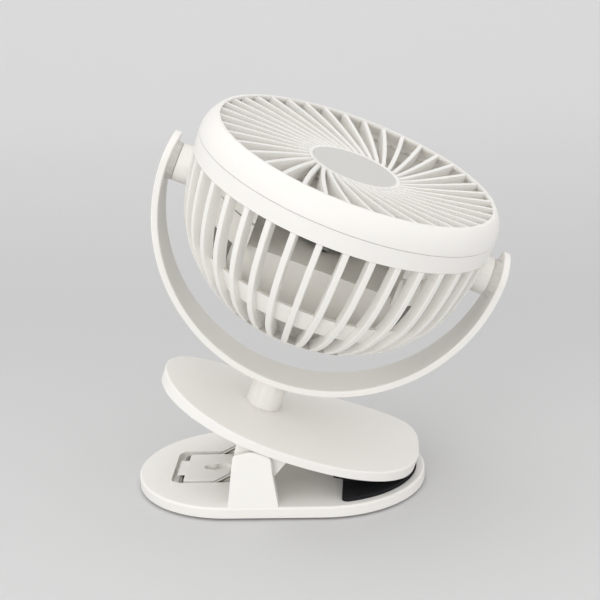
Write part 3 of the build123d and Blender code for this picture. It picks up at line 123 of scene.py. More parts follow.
# ---- Studio ----
SENSOR_WIDTH = 36.0
NEAREST_SEEN = 0.01
LAMP_AIM = Vector((0.0, 0.0, 0.09))
LAMPS = (
    {"name": "key_light", "place": (-0.42, -1.04, 0.42), "size": 0.9, "energy": 2.4},
    {"name": "fill_light", "place": (0.95, -0.6, 0.6), "size": 0.9, "energy": 0.2},
    {"name": "top_light", "place": (-0.1, 0.35, 1.2), "size": 0.8, "energy": 0.9},
)
FLOOR_FRONT = -1.4
FLOOR_BACK = 0.75
BACKDROP_BEND = 0.55
BACKDROP_TURN = radians(84)
BACKDROP_STEPS = 16
BACKDROP_TOP = (0, 0.1, 1.4)
STUDIO_WIDTH = 5.0
# The floor gets darker over the first stretch, a band of painted shade, and turns into the backdrop
# over the second.
FLOOR_PAINTED_SHADE_SPAN = (-0.1, 0.3)
# How dark the painted shade on the floor gets.
FLOOR_PAINTED_SHADE = 0.87
BACKDROP_RISE = (0.15, 0.9)


def length(name, description, millimetres):
    """A length property with its default given in millimetres."""
    return FloatProperty(
        name=name, description=description, default=millimetres * MM, min=0.0,
        unit="LENGTH", subtype="DISTANCE", precision=5,
    )


def angle(name, description, value):
    """An angle property."""
    return FloatProperty(name=name, description=description, default=value, subtype="ANGLE")


def count(name, description, value):
    """A property that counts pieces or turns."""
    return IntProperty(name=name, description=description, default=value)


def colour(name, description, value):
    """A colour property."""
    return FloatVectorProperty(
        name=name, description=description, default=value, min=0.0, max=1.0, size=3, subtype="COLOR",
    )


# ---- Values a user would change ----
class ClipFanSizes(bpy.types.PropertyGroup):
    """Sizes of the pieces that this script shapes."""

    rib_count: count("Ribs", "Number of ribs round the bowl", 38)
    rib_width: length("Rib width", "Width of a rib's outer edge", 2.75)
    rib_depth: length("Rib depth", "How deep the rounded edge of a rib reaches", 2.6)
    rib_rounding: length("Rib rounding", "Radius of a rib's two outer edges", 0.55)
    vane_count: count("Vanes", "Number of curved vanes in the front grille", 40)
    vane_width: length("Vane width", "Thickness of a vane at its rounded front edge", 1.95)
    vane_depth: length("Vane depth", "How deep the rounded front edge of a vane reaches", 2.2)
    vane_rounding: length("Vane rounding", "Radius of a vane's front edges", 0.8)
    wire: length("Wire diameter", "Diameter of the spring's wire", 1.8)
    coil_radius: length("Coil radius", "Radius of the coil's centre line", 4.6)
    ear_rounding: length("Ear rounding", "Radius of the edges of the lower jaw's ears", 0.7)
    pad_rounding: length("Pad rounding", "Radius of the foam pads' edges", 0.45)
    cap_rounding: length("Cap rounding", "Radius of the pivot caps' edges", 0.3)
    foot_rounding: length("Foot rounding", "Radius of the rubber foot's edges", 0.25)
    badge_rounding: length("Badge rounding", "Radius of the hub disc's edge", 0.25)


class ClipFanColours(bpy.types.PropertyGroup):
    """Colours of the fan and its studio."""

    shell: colour("Shell", "Warm white moulded plastic", (0.90, 0.88, 0.842))
    inner: colour("Inside", "Plastic of the housing inside the bowl", (0.89, 0.865, 0.815))
    badge: colour("Badge", "Satin disc on the hub", (0.64, 0.632, 0.606))
    foam: colour("Foam", "Black foam of the pads", (0.010, 0.010, 0.011))
    steel: colour("Steel", "Spring wire and screws", (0.36, 0.34, 0.31))
    floor: colour("Floor", "Studio floor", (0.665, 0.665, 0.665))
    backdrop: colour("Backdrop", "Studio backdrop", (0.70, 0.70, 0.70))


# ---- Parts of materials ----
def group_socket(group, name, kind, way, default=None):
    """Adds a named input or output to a node group."""
    socket = group.interface.new_socket(name=name, in_out=way, socket_type=kind)
    if default is not None:
        socket.default_value = default


def add_texture(nodes, links, kind, **settings):
    """A texture laid out on the piece's own coordinates."""
    place = nodes.new("ShaderNodeTexCoord")
    texture = nodes.new(kind)
    for socket, value in settings.items():
        texture.inputs[socket].default_value = value
    links.new(place.outputs["Object"], texture.inputs["Vector"])
    return texture


def add_colour_mix(nodes, links, share, first, second):
    """The colour between two plain colours that a share leads to."""
    mix = nodes.new("ShaderNodeMix")
    mix.data_type = "RGBA"
    mix.inputs["A"].default_value = (*first, 1.0)
    mix.inputs["B"].default_value = (*second, 1.0)
    links.new(share, mix.inputs["Factor"])
    return mix.outputs["Result"]


def add_bump(nodes, links, shader, height, distance):
    """Raises the surface by a height output."""
    bump = nodes.new("ShaderNodeBump")
    bump.inputs["Strength"].default_value = 1.0
    bump.inputs["Distance"].default_value = distance
    links.new(height, bump.inputs["Height"])
    links.new(bump.outputs["Normal"], shader.inputs["Normal"])


def grain_group():
    """Fine moulded texture with a faint unevenness in colour and gloss."""
    found = bpy.data.node_groups.get("moulded_grain")
    if found:
        return found
    group = bpy.data.node_groups.new("moulded_grain", "ShaderNodeTree")
    group_socket(group, "Color", "NodeSocketColor", "INPUT", (0.8, 0.8, 0.8, 1.0))
    group_socket(group, "Shade Change", "NodeSocketFloat", "INPUT", 0.03)
    group_socket(group, "Roughness", "NodeSocketFloat", "INPUT", 0.45)
    group_socket(group, "Gloss Change", "NodeSocketFloat", "INPUT", 0.06)
    group_socket(group, "Grain Scale", "NodeSocketFloat", "INPUT", 2600.0)
    group_socket(group, "Color", "NodeSocketColor", "OUTPUT")
    group_socket(group, "Roughness", "NodeSocketFloat", "OUTPUT")
    group_socket(group, "Height", "NodeSocketFloat", "OUTPUT")
    nodes, links = group.nodes, group.links
    given = nodes.new("NodeGroupInput")
    result = nodes.new("NodeGroupOutput")
    fine = add_texture(nodes, links, "ShaderNodeTexNoise", Detail=2.0)
    links.new(given.outputs["Grain Scale"], fine.inputs["Scale"])
    broad = add_texture(nodes, links, "ShaderNodeTexNoise", Scale=45.0, Detail=3.0)
    centred = nodes.new("ShaderNodeMath")
    centred.operation = "SUBTRACT"
    centred.inputs[1].default_value = 0.5
    links.new(broad.outputs["Fac"], centred.inputs[0])
    shade = nodes.new("ShaderNodeMath")
    shade.operation = "MULTIPLY_ADD"
    shade.inputs[2].default_value = 1.0
    links.new(centred.outputs[0], shade.inputs[0])
    links.new(given.outputs["Shade Change"], shade.inputs[1])
    tint = nodes.new("ShaderNodeVectorMath")
    tint.operation = "SCALE"
    links.new(given.outputs["Color"], tint.inputs[0])
    links.new(shade.outputs[0], tint.inputs["Scale"])
    gloss = nodes.new("ShaderNodeMath")
    gloss.operation = "MULTIPLY_ADD"
    links.new(centred.outputs[0], gloss.inputs[0])
    links.new(given.outputs["Gloss Change"], gloss.inputs[1])
    links.new(given.outputs["Roughness"], gloss.inputs[2])
    links.new(tint.outputs["Vector"], result.inputs["Color"])
    links.new(gloss.outputs[0], result.inputs["Roughness"])
    links.new(fine.outputs["Fac"], result.inputs["Height"])
    return group


def cell_group():
    """Closed-cell foam: small round cells with dark gaps."""
    found = bpy.data.node_groups.get("foam_cells")
    if found:
        return found
    group = bpy.data.node_groups.new("foam_cells", "ShaderNodeTree")
    group_socket(group, "Color", "NodeSocketColor", "INPUT", (0.01, 0.01, 0.01, 1.0))
    group_socket(group, "Worn Color", "NodeSocketColor", "INPUT", (0.03, 0.03, 0.03, 1.0))
    group_socket(group, "Cell Scale", "NodeSocketFloat", "INPUT", 2200.0)
    group_socket(group, "Color", "NodeSocketColor", "OUTPUT")
    group_socket(group, "Height", "NodeSocketFloat", "OUTPUT")
    nodes, links = group.nodes, group.links
    given = nodes.new("NodeGroupInput")
    result = nodes.new("NodeGroupOutput")
    cells = add_texture(nodes, links, "ShaderNodeTexVoronoi")
    cells.feature = "F1"
    links.new(given.outputs["Cell Scale"], cells.inputs["Scale"])
    patches = add_texture(nodes, links, "ShaderNodeTexNoise", Scale=220.0)
    mixed = nodes.new("ShaderNodeMix")
    mixed.data_type = "RGBA"
    links.new(patches.outputs["Fac"], mixed.inputs["Factor"])
    links.new(given.outputs["Color"], mixed.inputs["A"])
    links.new(given.outputs["Worn Color"], mixed.inputs["B"])
    links.new(mixed.outputs["Result"], result.inputs["Color"])
    links.new(cells.outputs["Distance"], result.inputs["Height"])
    return group


def new_material(name):
    """A new material with its nodes, links and Principled shader."""
    material = bpy.data.materials.new(name)
    material.use_nodes = True
    nodes, links = material.node_tree.nodes, material.node_tree.links
    return material, nodes, links, nodes["Principled BSDF"]


# ---- Materials ----
def moulded_plastic(name, base, roughness, grain_height=0.012 * MM, grain_scale=2600.0, soft_light=0.0):
    """Moulded plastic with a fine spark-eroded grain."""
    material, nodes, links, shader = new_material(name)
    grain = nodes.new("ShaderNodeGroup")
    grain.node_tree = grain_group()
    grain.inputs["Color"].default_value = (*base, 1.0)
    grain.inputs["Roughness"].default_value = roughness
    grain.inputs["Grain Scale"].default_value = grain_scale
    links.new(grain.outputs["Color"], shader.inputs["Base Color"])
    links.new(grain.outputs["Roughness"], shader.inputs["Roughness"])
    shader.inputs["IOR"].default_value = 1.5
    if soft_light:
        shader.inputs["Subsurface Weight"].default_value = soft_light
        shader.inputs["Subsurface Radius"].default_value = (1.0, 0.8, 0.6)
        shader.inputs["Subsurface Scale"].default_value = 1.5 * MM
    add_bump(nodes, links, shader, grain.outputs["Height"], grain_height)
    return material


def drawn_metal(name, base, roughness, stretch=(1.0, 1.0, 1.0)):
    """Bare metal with fine marks that can be drawn out along one direction."""
    darkest, glossiest, dullest = 0.8, 0.8, 1.3
    mark_height = 0.008 * MM
    material, nodes, links, shader = new_material(name)
    shader.inputs["Metallic"].default_value = 1.0
    place = nodes.new("ShaderNodeTexCoord")
    drawn = nodes.new("ShaderNodeMapping")
    drawn.inputs["Scale"].default_value = stretch
    marks = nodes.new("ShaderNodeTexNoise")
    marks.inputs["Scale"].default_value = 900.0
    links.new(place.outputs["Object"], drawn.inputs["Vector"])
    links.new(drawn.outputs["Vector"], marks.inputs["Vector"])
    dark = [darkest * part for part in base]
    shades = add_colour_mix(nodes, links, marks.outputs["Fac"], dark, base)
    links.new(shades, shader.inputs["Base Color"])
    gloss = nodes.new("ShaderNodeMapRange")
    gloss.inputs["To Min"].default_value = roughness * glossiest
    gloss.inputs["To Max"].default_value = roughness * dullest
    links.new(marks.outputs["Fac"], gloss.inputs["Value"])
    links.new(gloss.outputs["Result"], shader.inputs["Roughness"])
    add_bump(nodes, links, shader, marks.outputs["Fac"], mark_height)
    return material


def foam(name, base):
    """Black closed-cell foam, lighter where it is worn."""
    worn_shade = 2.2
    cell_depth = 0.12 * MM
    material, nodes, links, shader = new_material(name)
    cells = nodes.new("ShaderNodeGroup")
    cells.node_tree = cell_group()
    cells.inputs["Color"].default_value = (*base, 1.0)
    cells.inputs["Worn Color"].default_value = (*[worn_shade * part for part in base], 1.0)
    links.new(cells.outputs["Color"], shader.inputs["Base Color"])
    shader.inputs["Roughness"].default_value = 0.95
    shader.inputs["Specular IOR Level"].default_value = 0.2
    add_bump(nodes, links, shader, cells.outputs["Height"], cell_depth)
    return material


def clear_lens(name, base):
    """A clear plastic lens with a faint cloudiness."""
    cloudy_shade = 0.94
    material, nodes, links, shader = new_material(name)
    cloud = add_texture(nodes, links, "ShaderNodeTexNoise", Scale=500.0)
    cloudy = [cloudy_shade * part for part in base]
    tint = add_colour_mix(nodes, links, cloud.outputs["Fac"], cloudy, base)
    links.new(tint, shader.inputs["Base Color"])
    shader.inputs["Roughness"].default_value = 0.08
    shader.inputs["Transmission Weight"].default_value = 0.85
    return material


def studio_paper(name, floor, backdrop):
    """Matt studio paper with a band of painted shade across the back of the floor, turning into the
    backdrop's colour.
    """
    material, nodes, links, shader = new_material(name)
    place = nodes.new("ShaderNodeTexCoord")
    split = nodes.new("ShaderNodeSeparateXYZ")
    links.new(place.outputs["Object"], split.inputs["Vector"])
    shares = []
    for stretch in (FLOOR_PAINTED_SHADE_SPAN, BACKDROP_RISE):
        share = nodes.new("ShaderNodeMapRange")
        share.interpolation_type = "SMOOTHSTEP"
        share.inputs["From Min"].default_value, share.inputs["From Max"].default_value = stretch
        links.new(split.outputs["Y"], share.inputs["Value"])
        shares.append(share.outputs["Result"])
    painted_shade_share, rise = shares
    # Painted shade: the floor's colour is darkened towards the back.
    dark = [FLOOR_PAINTED_SHADE * part for part in floor]
    floor_with_painted_shade = add_colour_mix(nodes, links, painted_shade_share, floor, dark)
    blend = nodes.new("ShaderNodeMix")
    blend.data_type = "RGBA"
    blend.inputs["B"].default_value = (*backdrop, 1.0)
    links.new(floor_with_painted_shade, blend.inputs["A"])
    links.new(rise, blend.inputs["Factor"])
    links.new(blend.outputs["Result"], shader.inputs["Base Color"])
    shader.inputs["Roughness"].default_value = 0.75
    shader.inputs["Specular IOR Level"].default_value = 0.25
    return material


def finish(name):
    """One of the fan's finishes, made when it is first asked for."""
    found = bpy.data.materials.get(name)
    if found:
        return found
    colours = bpy.context.scene.clip_fan_colours
    makers = {
        "warm_white_plastic": lambda: moulded_plastic(name, colours.shell, 0.42, soft_light=0.08),
        "inner_white_plastic": lambda: moulded_plastic(name, colours.inner, 0.5, 0.008 * MM),
        "satin_disc": lambda: moulded_plastic(name, colours.badge, 0.34, 0.004 * MM, 5200.0),
        "black_foam": lambda: foam(name, colours.foam),
        "foot_rubber": lambda: moulded_plastic(name, (0.03, 0.03, 0.03), 0.8, 0.03 * MM, 1800.0),
        "spring_steel_wire": lambda: drawn_metal(name, colours.steel, 0.24, (1.0, 1.0, 0.2)),
        "plated_steel": lambda: drawn_metal(name, (0.52, 0.52, 0.53), 0.32),
        "nickel": lambda: drawn_metal(name, (0.66, 0.64, 0.60), 0.2),
        "cast_zinc": lambda: drawn_metal(name, (0.45, 0.45, 0.46), 0.5),
        "copper_winding": lambda: drawn_metal(name, (0.62, 0.28, 0.12), 0.35, (1.0, 1.0, 12.0)),
        "ferrite": lambda: moulded_plastic(name, (0.06, 0.06, 0.06), 0.6, 0.02 * MM, 1500.0),
        "cell_wrap_film": lambda: moulded_plastic(name, (0.05, 0.22, 0.30), 0.3, 0.004 * MM),
        "green_board": lambda: moulded_plastic(name, (0.03, 0.16, 0.07), 0.4, 0.006 * MM),
        "black_nylon": lambda: moulded_plastic(name, (0.05, 0.05, 0.05), 0.5),
        "clear_lens_plastic": lambda: clear_lens(name, (0.85, 0.90, 0.95)),
    }
    return makers[name]()


# ---- Making pieces ----
def merged(node):
    """A bmesh of a CAD node with its loose triangles joined."""
    work = bmesh.new()
    work.from_mesh(frame["nodes"][node].data)
    bmesh.ops.remove_doubles(work, verts=work.verts, dist=JOIN_DISTANCE)
    bmesh.ops.dissolve_degenerate(work, edges=work.edges, dist=SLIVER_LENGTH)
    return work


def flattened(node):
    """A bmesh of a CAD node whose flat faces are whole."""
    work = merged(node)
    bmesh.ops.dissolve_limit(work, angle_limit=FLAT_TURN, verts=work.verts, edges=work.edges)
    return work


def corners(work, turn):
    """The edges at which the surface turns by more than an angle."""
    return [edge for edge in work.edges if edge.is_manifold and edge.calc_face_angle(0.0) > turn]


def round_edges(work, edges, radius, clamp):
    """Rounds some of a bmesh's edges."""
    bmesh.ops.bevel(
        work, geom=edges, offset=radius, offset_type="OFFSET", affect="EDGES",
        segments=ROUNDING_STEPS, profile=0.5, material=-1, clamp_overlap=clamp,
    )


def soft_edged(node, radius):
    """A bmesh of a plain node whose sharp edges are rounded."""
    work = flattened(node)
    round_edges(work, corners(work, CORNER_TURN), radius, clamp=True)
    return work


def make_piece(name, work, material, sharp=SHARP_TURN, even_shading=True):
    """Turns a bmesh into a finished object at the origin."""
    mesh = bpy.data.meshes.new(name)
    work.to_mesh(mesh)
    work.free()
    mesh.shade_smooth()
    mesh.set_sharp_from_angle(angle=sharp)
    mesh.materials.append(finish(material))
    piece = bpy.data.objects.new(name, mesh)
    bpy.context.scene.collection.objects.link(piece)
    if even_shading:
        shading = piece.modifiers.new("even_shading", "WEIGHTED_NORMAL")
        shading.keep_sharp = True
        shading.weight = EVEN_SHADING_WEIGHT
    return piece


def stand_in(piece, node, body):
    """Lets a piece take a CAD node's place on a body."""
    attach(piece, body)
    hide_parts(node)


def smooth_copy(node, name, body, material):
    """A node's own shape, joined and shaded smoothly, in its finish."""
    stand_in(make_piece(name, merged(node), material), node, body)


def dress(material, *nodes):
    """Gives CAD nodes that keep their shape one of the finishes."""
    for node in nodes:
        mesh = frame["nodes"][node].data
        mesh.materials.clear()
        mesh.materials.append(finish(material))


def turned_copies(work, number):
    """Repeats everything in the bmesh round its Z axis."""
    first = list(work.verts) + list(work.edges) + list(work.faces)
    for step in range(1, number):
        copy = bmesh.ops.duplicate(work, geom=first)
        turned = [item for item in copy["geom"] if isinstance(item, bmesh.types.BMVert)]
        turn = Matrix.Rotation(2 * pi * step / number, 3, "Z")
        bmesh.ops.rotate(work, verts=turned, cent=(0, 0, 0), matrix=turn)


def lengthwise_edges(work):
    """The edges that run along a strip that hasn't been bent yet."""
    return [edge for edge in work.edges if abs(edge.verts[0].co.z - edge.verts[1].co.z) > 0.5]


def rounded_strip(width, depth, rounding, cuts, place):
    """A strip with two rounded front edges, bent by a place function.

    place gives a point from its share of the way, its offset across and its depth.
    """
    work = bmesh.new()
    bmesh.ops.create_cube(work, size=1.0)
    bmesh.ops.scale(work, vec=(depth, width, 1.0), verts=work.verts)
    front = [edge for edge in lengthwise_edges(work) if edge.verts[0].co.x > 0]
    round_edges(work, front, rounding, clamp=False)
    bmesh.ops.subdivide_edges(work, edges=lengthwise_edges(work), cuts=cuts, use_grid_fill=True)
    for vert in work.verts:
        vert.co = place(0.5 - vert.co.z, vert.co.y, depth / 2 - vert.co.x)
    return work


def head_place():
    """The head's own frame: centre on the tilt pivots, X along them, Z out through the grille."""
    across = Vector(JOINTS["head_tilt"]["axis"]).normalized()
    ahead = Vector(JOINTS["fan_spin"]["axis"]).normalized()
    place = Matrix((across, ahead.cross(across), ahead)).transposed().to_4x4()
    place.translation = Vector(JOINTS["head_tilt"]["pos_m"])
    return place


def head_piece(name, work, material):
    """Places a bmesh made in the head's own frame and lets it ride on the head."""
    bmesh.ops.transform(work, matrix=head_place(), verts=work.verts)
    bmesh.ops.recalc_face_normals(work, faces=work.faces)
    piece = make_piece(name, work, material)
    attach(piece, "head")


# ---- Lines that the strips follow, in the head's frame ----
def bowl_line(share):
    """A point on the bowl's outline and its outward direction, from the band to the rear rim."""
    wall_length = WALL_BEND * (WALL_TURN - RIB_TOP_TURN)
    lower_length = LOWER_BEND * (LOWER_TURN - WALL_TURN)
    run = share * (wall_length + lower_length)
    if run < wall_length:
        turn = RIB_TOP_TURN + run / WALL_BEND
        centre, bend = WALL_CENTRE, WALL_BEND
    else:
        turn = WALL_TURN + (run - wall_length) / LOWER_BEND
        centre, bend = LOWER_CENTRE, LOWER_BEND
    way = Vector((cos(turn), -sin(turn)))
    return centre + way * bend, way


def vane_point(inward):
    """A point on a vane's centre line, from 0 at the rim to 1 at the hub."""
    radius = RIM_END + (HUB_END - RIM_END) * inward
    turn = -VANE_SWEEP * inward**2
    return Vector((radius * cos(turn), radius * sin(turn)))


def circle_centre(a, b, c):
    """The centre of the circle through three points."""
    first, second = b - a, c - a
    scale = 2 * (first.x * second.y - first.y * second.x)
    across = second.y * first.length_squared - first.y * second.length_squared
    along = first.x * second.length_squared - second.x * first.length_squared
    return a + Vector((across, along)) / scale


# ---- The spring's wire ----
def bent_corner(before, corner, after, bend):
    """Points of the arc that rounds a corner of the wire."""
    way_in, way_out = (corner - before).normalized(), (after - corner).normalized()
    half = way_in.angle(way_out) / 2
    start = corner - way_in * bend * tan(half)
    centre = corner + (way_out - way_in).normalized() * bend / cos(half)
    axis = way_in.cross(way_out).normalized()
    arm = start - centre
    turns = [2 * half * step / BEND_STEPS for step in range(BEND_STEPS + 1)]
    return [centre + Matrix.Rotation(turn, 3, axis) @ arm for turn in turns]


def jaw_leg_end(end_x, wire):
    """Where the middle of the wire ends under the upper jaw's plate."""
    along = Vector((cos(JAW_TILT), 0, -sin(JAW_TILT)))
    above = Vector((sin(JAW_TILT), 0, cos(JAW_TILT)))
    sag_radius = JAW_HALF_LENGTH**2 / (2 * JAW_END_RISE)
    height = end_x**2 / (2 * sag_radius) + JAW_PLATE_LIFT - wire / 2 - WIRE_SEAT_GAP
    return JAW_MIDDLE - along * end_x + above * height


def wire_along(context, points, diameter):
    """A bmesh of round wire that follows some points."""
    route = bpy.data.curves.new("spring_route", "CURVE")
    route.dimensions = "3D"
    route.bevel_depth = diameter / 2
    route.bevel_resolution = WIRE_ROUNDNESS
    route.use_fill_caps = True
    spline = route.splines.new("POLY")
    spline.points.add(len(points) - 1)
    for point, place in zip(spline.points, points):
        point.co = (*place, 1.0)
    holder = bpy.data.objects.new("spring_route", route)
    context.scene.collection.objects.link(holder)
    evaluated = holder.evaluated_get(context.evaluated_depsgraph_get())
    mesh = bpy.data.meshes.new_from_object(evaluated)
    bpy.data.objects.remove(holder)
    bpy.data.curves.remove(route)
    work = bmesh.new()
    work.from_mesh(mesh)
    bpy.data.meshes.remove(mesh)
    bmesh.ops.remove_doubles(work, verts=work.verts, dist=JOIN_DISTANCE)
    bmesh.ops.recalc_face_normals(work, faces=work.faces)
    return work


# ---- Operators, one for each piece or group of like pieces ----
class CLIPFAN_OT_base(bpy.types.Operator):
    """Finishes the lower jaw with its cover, foot, hinge pin and keyhole plate"""

    bl_idname = "clipfan.base"
    bl_label = "Lower Jaw"

    def execute(self, context):
        sizes = context.scene.clip_fan_sizes
        work = flattened("base_shell")
        edges = [edge for edge in corners(work, EAR_CORNER_TURN)
                 if all(vert.co.z > EAR_FOOT and abs(vert.co.y) > EAR_INNER for vert in edge.verts)]
        round_edges(work, edges, sizes.ear_rounding, clamp=True)
        jaw = make_piece("lower_jaw_moulding", work, "warm_white_plastic")
        stand_in(jaw, "base_shell", "base")
        plate = make_piece("keyhole_plate", merged("spring_retainer"), "warm_white_plastic",
                           sharp=PLATE_SHARP_TURN, even_shading=False)
        stand_in(plate, "spring_retainer", "base")
        smooth_copy("base_bottom_cover", "lower_jaw_cover", "base",
                    "inner_white_plastic")
        foot_work = soft_edged("base_foot_pad", sizes.foot_rounding)
        foot = make_piece("rubber_foot", foot_work, "foot_rubber")
        stand_in(foot, "base_foot_pad", "base")
        smooth_copy("hinge_pin", "hinge_rod", "base", "spring_steel_wire")
        dress("plated_steel", "base_screws")
        return {"FINISHED"}


class CLIPFAN_OT_upper_jaw(bpy.types.Operator):
    """Finishes the upper jaw's two shells"""

    bl_idname = "clipfan.upper_jaw"
    bl_label = "Upper Jaw"

    def execute(self, context):
        for node, name in (("upper_jaw_top_shell", "upper_jaw_cover"),
                           ("upper_jaw_bottom_shell", "upper_jaw_underside")):
            smooth_copy(node, name, "upper_jaw", "warm_white_plastic")
        dress("plated_steel", "upper_jaw_screws")
        return {"FINISHED"}


class CLIPFAN_OT_pads(bpy.types.Operator):
    """Makes the two foam pads that grip, with rounded edges"""

    bl_idname = "clipfan.pads"
    bl_label = "Foam Pads"

    def execute(self, context):
        rounding = context.scene.clip_fan_sizes.pad_rounding
        for node, name, body in (("lower_jaw_pad", "lower_foam_pad", "base"),
                                 ("upper_jaw_pad", "upper_foam_pad", "upper_jaw")):
            pad = make_piece(name, soft_edged(node, rounding), "black_foam")
            stand_in(pad, node, body)
        return {"FINISHED"}


class CLIPFAN_OT_spring(bpy.types.Operator):
    """Winds the double torsion spring round the hinge, with its upper legs ending under the upper jaw
    """

    bl_idname = "clipfan.spring"
    bl_label = "Clip Spring"

    seat_height: length("Seat height", "Height of the wire's centre in the lower jaw", 3.95)
    cross_x: length("Cross wire", "How far behind the origin the cross wire lies", 44.6)
    rise_x: length("Rise", "How far behind the origin the legs start to rise", 31.0)
    leg_y: length("Leg offset", "How far the lower legs lie from the middle", 15.9)
    bend: length("Bend", "Radius of the wire's bends", 3.2)
    pitch: length("Pitch", "Sideways step of the coil in a turn", 2.4)
    turns: count("Turns", "Whole turns of each coil", 3)
    end_x: length("Leg end", "How far behind the jaw's middle the upper legs end", 43.0)

    def half_route(self, hinge, radius, wire):
        """The wire's centre line from the middle of the cross wire to one end."""
        def lean(run, rise):
            return asin(radius / sqrt(run**2 + rise**2))

        def on_coil(turn, sideways):
            return Vector((hinge.x + radius * cos(turn), sideways, hinge.z + radius * sin(turn)))

        leg_end = jaw_leg_end(self.end_x, wire)
        lead = (hinge.x + self.rise_x, hinge.z - self.seat_height)
        tail = (leg_end.x - hinge.x, leg_end.z - hinge.z)
        first = atan2(lead[1], lead[0]) - lean(*lead) - pi / 2
        last = atan2(tail[1], tail[0]) + lean(*tail) - pi / 2 + 2 * pi * self.turns
        drift = self.pitch * (last - first) / (2 * pi)
        middle = Vector((-self.cross_x, 0, self.seat_height))
        rear = Vector((-self.cross_x, self.leg_y, self.seat_height))
        rise = Vector((-self.rise_x, self.leg_y, self.seat_height))
        start = on_coil(first, self.leg_y)
        points = bent_corner(middle, rear, rise, self.bend)
        points += bent_corner(rear, rise, start, self.bend)
        steps = COIL_STEPS * self.turns
        for step in range(steps + 1):
            share = step / steps
            points.append(on_coil(first + (last - first) * share, self.leg_y + drift * share))
        points.append(Vector((leg_end.x, self.leg_y + drift, leg_end.z)))
        return points

    def execute(self, context):
        sizes = context.scene.clip_fan_sizes
        hinge = Vector(JOINTS["clip_hinge"]["pos_m"])
        radius = sizes.coil_radius
        half = self.half_route(hinge, radius, sizes.wire)
        points = [Vector((point.x, -point.y, point.z)) for point in reversed(half)] + half
        work = wire_along(context, points, sizes.wire)
        spring = make_piece("torsion_spring", work, "spring_steel_wire",
                            sharp=WIRE_SHARP_TURN, even_shading=False)
        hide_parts("clip_spring")
        below, above = (hinge.x, 0, hinge.z - radius), (hinge.x, 0, hinge.z + radius)
        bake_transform(spring)
        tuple(below)
        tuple(above)
        return {"FINISHED"}


class CLIPFAN_OT_yoke(bpy.types.Operator):
    """Finishes the post, the half-ring yoke and its pivot caps"""

    bl_idname = "clipfan.yoke"
    bl_label = "Yoke"

    def execute(self, context):
        smooth_copy("yoke_arm", "yoke_moulding", "yoke", "warm_white_plastic")
        work = soft_edged("pivot_caps", context.scene.clip_fan_sizes.cap_rounding)
        caps = make_piece("pivot_cover_discs", work, "warm_white_plastic")
        stand_in(caps, "pivot_caps", "yoke")
        dress("plated_steel", "pivot_screws", "pivot_nuts", "swivel_screw", "swivel_washer")
        return {"FINISHED"}


class CLIPFAN_OT_bowl(bpy.types.Operator):
    """Finishes the rear bowl and gives each rib its rounded outer edge"""

    bl_idname = "clipfan.bowl"
    bl_label = "Rear Bowl"

    def execute(self, context):
        bowl = make_piece("bowl_moulding", merged("rear_cage"), "warm_white_plastic",
                          sharp=BOWL_SHARP_TURN, even_shading=False)
        stand_in(bowl, "rear_cage", "head")
        sizes = context.scene.clip_fan_sizes

        def place(share, across, behind):
            point, way = bowl_line(share)
            section = point - way * (behind - SKIN)
            return Vector((section.x, across, section.y))

        work = rounded_strip(sizes.rib_width, sizes.rib_depth, sizes.rib_rounding, RIB_CUTS, place)
        turned_copies(work, sizes.rib_count)
        head_piece("rib_edges", work, "warm_white_plastic")
        return {"FINISHED"}


class CLIPFAN_OT_grille(bpy.types.Operator):
    """Finishes the front grille, its vanes' rounded edges and the disc on its hub"""

    bl_idname = "clipfan.grille"
    bl_label = "Front Grille"

    def vane_edges(self, sizes):
        """Rounded strips along the arc of each vane."""
        rim, middle, hub = (vane_point(inward) for inward in (0, 0.5, 1))
        centre = circle_centre(rim, middle, hub)
        bend = (rim - centre).length
        first, last = (atan2(*(point - centre).yx) for point in (rim, hub))
        if last - first > pi:
            last -= 2 * pi
        elif first - last > pi:
            last += 2 * pi

        def place(share, across, behind):
            turn = first + (last - first) * share
            way = Vector((cos(turn), sin(turn)))
            on_line = centre + way * bend
            outward = (on_line.length - HUB_END) / (FRONT_RADIUS - HUB_END)
            height = HUB_TOP + (RIM_TOP - HUB_TOP) * outward
            spot = on_line + way * across
            return Vector((spot.x, spot.y, height + SKIN - behind))

        work = rounded_strip(sizes.vane_width, sizes.vane_depth, sizes.vane_rounding, VANE_CUTS, place)
        turned_copies(work, sizes.vane_count)
        return work

    def execute(self, context):
        sizes = context.scene.clip_fan_sizes
        smooth_copy("front_grille", "grille_moulding", "head", "warm_white_plastic")
        head_piece("vane_edges", self.vane_edges(sizes), "warm_white_plastic")
        badge = make_piece("hub_disc", soft_edged("hub_badge", sizes.badge_rounding), "satin_disc")
        stand_in(badge, "hub_badge", "head")
        return {"FINISHED"}


class CLIPFAN_OT_rear(bpy.types.Operator):
    """Finishes the rear cap with its button, light and socket"""

    bl_idname = "clipfan.rear"
    bl_label = "Rear Cap and Button"

    def execute(self, context):
        smooth_copy("rear_cap", "rear_cover", "head", "warm_white_plastic")
        smooth_copy("power_button", "push_button", "button", "satin_disc")
        smooth_copy("charge_port", "charge_socket", "head", "nickel")
        smooth_copy("power_light", "light_lens", "head", "clear_lens_plastic")
        dress("plated_steel", "cap_screws", "board_screws", "housing_screws")
        dress("green_board", "control_board")
        dress("black_nylon", "button_switch")
        return {"FINISHED"}


class CLIPFAN_OT_inside(bpy.types.Operator):
    """Finishes the battery housing, cells and motor inside the bowl"""

    bl_idname = "clipfan.inside"
    bl_label = "Battery and Motor"

    def execute(self, context):
        smooth_copy("battery_housing", "battery_box", "head", "inner_white_plastic")
        dress("cell_wrap_film", "battery_cells")
        dress("nickel", "battery_contacts")
        dress("cast_zinc", "motor_base")
        dress("plated_steel", "motor_stator", "motor_screws", "motor_rotor")
        dress("copper_winding", "motor_coils")
        dress("ferrite", "motor_magnet")
        dress("spring_steel_wire", "motor_shaft")
        dress("black_nylon", "pivot_bushes")
        return {"FINISHED"}


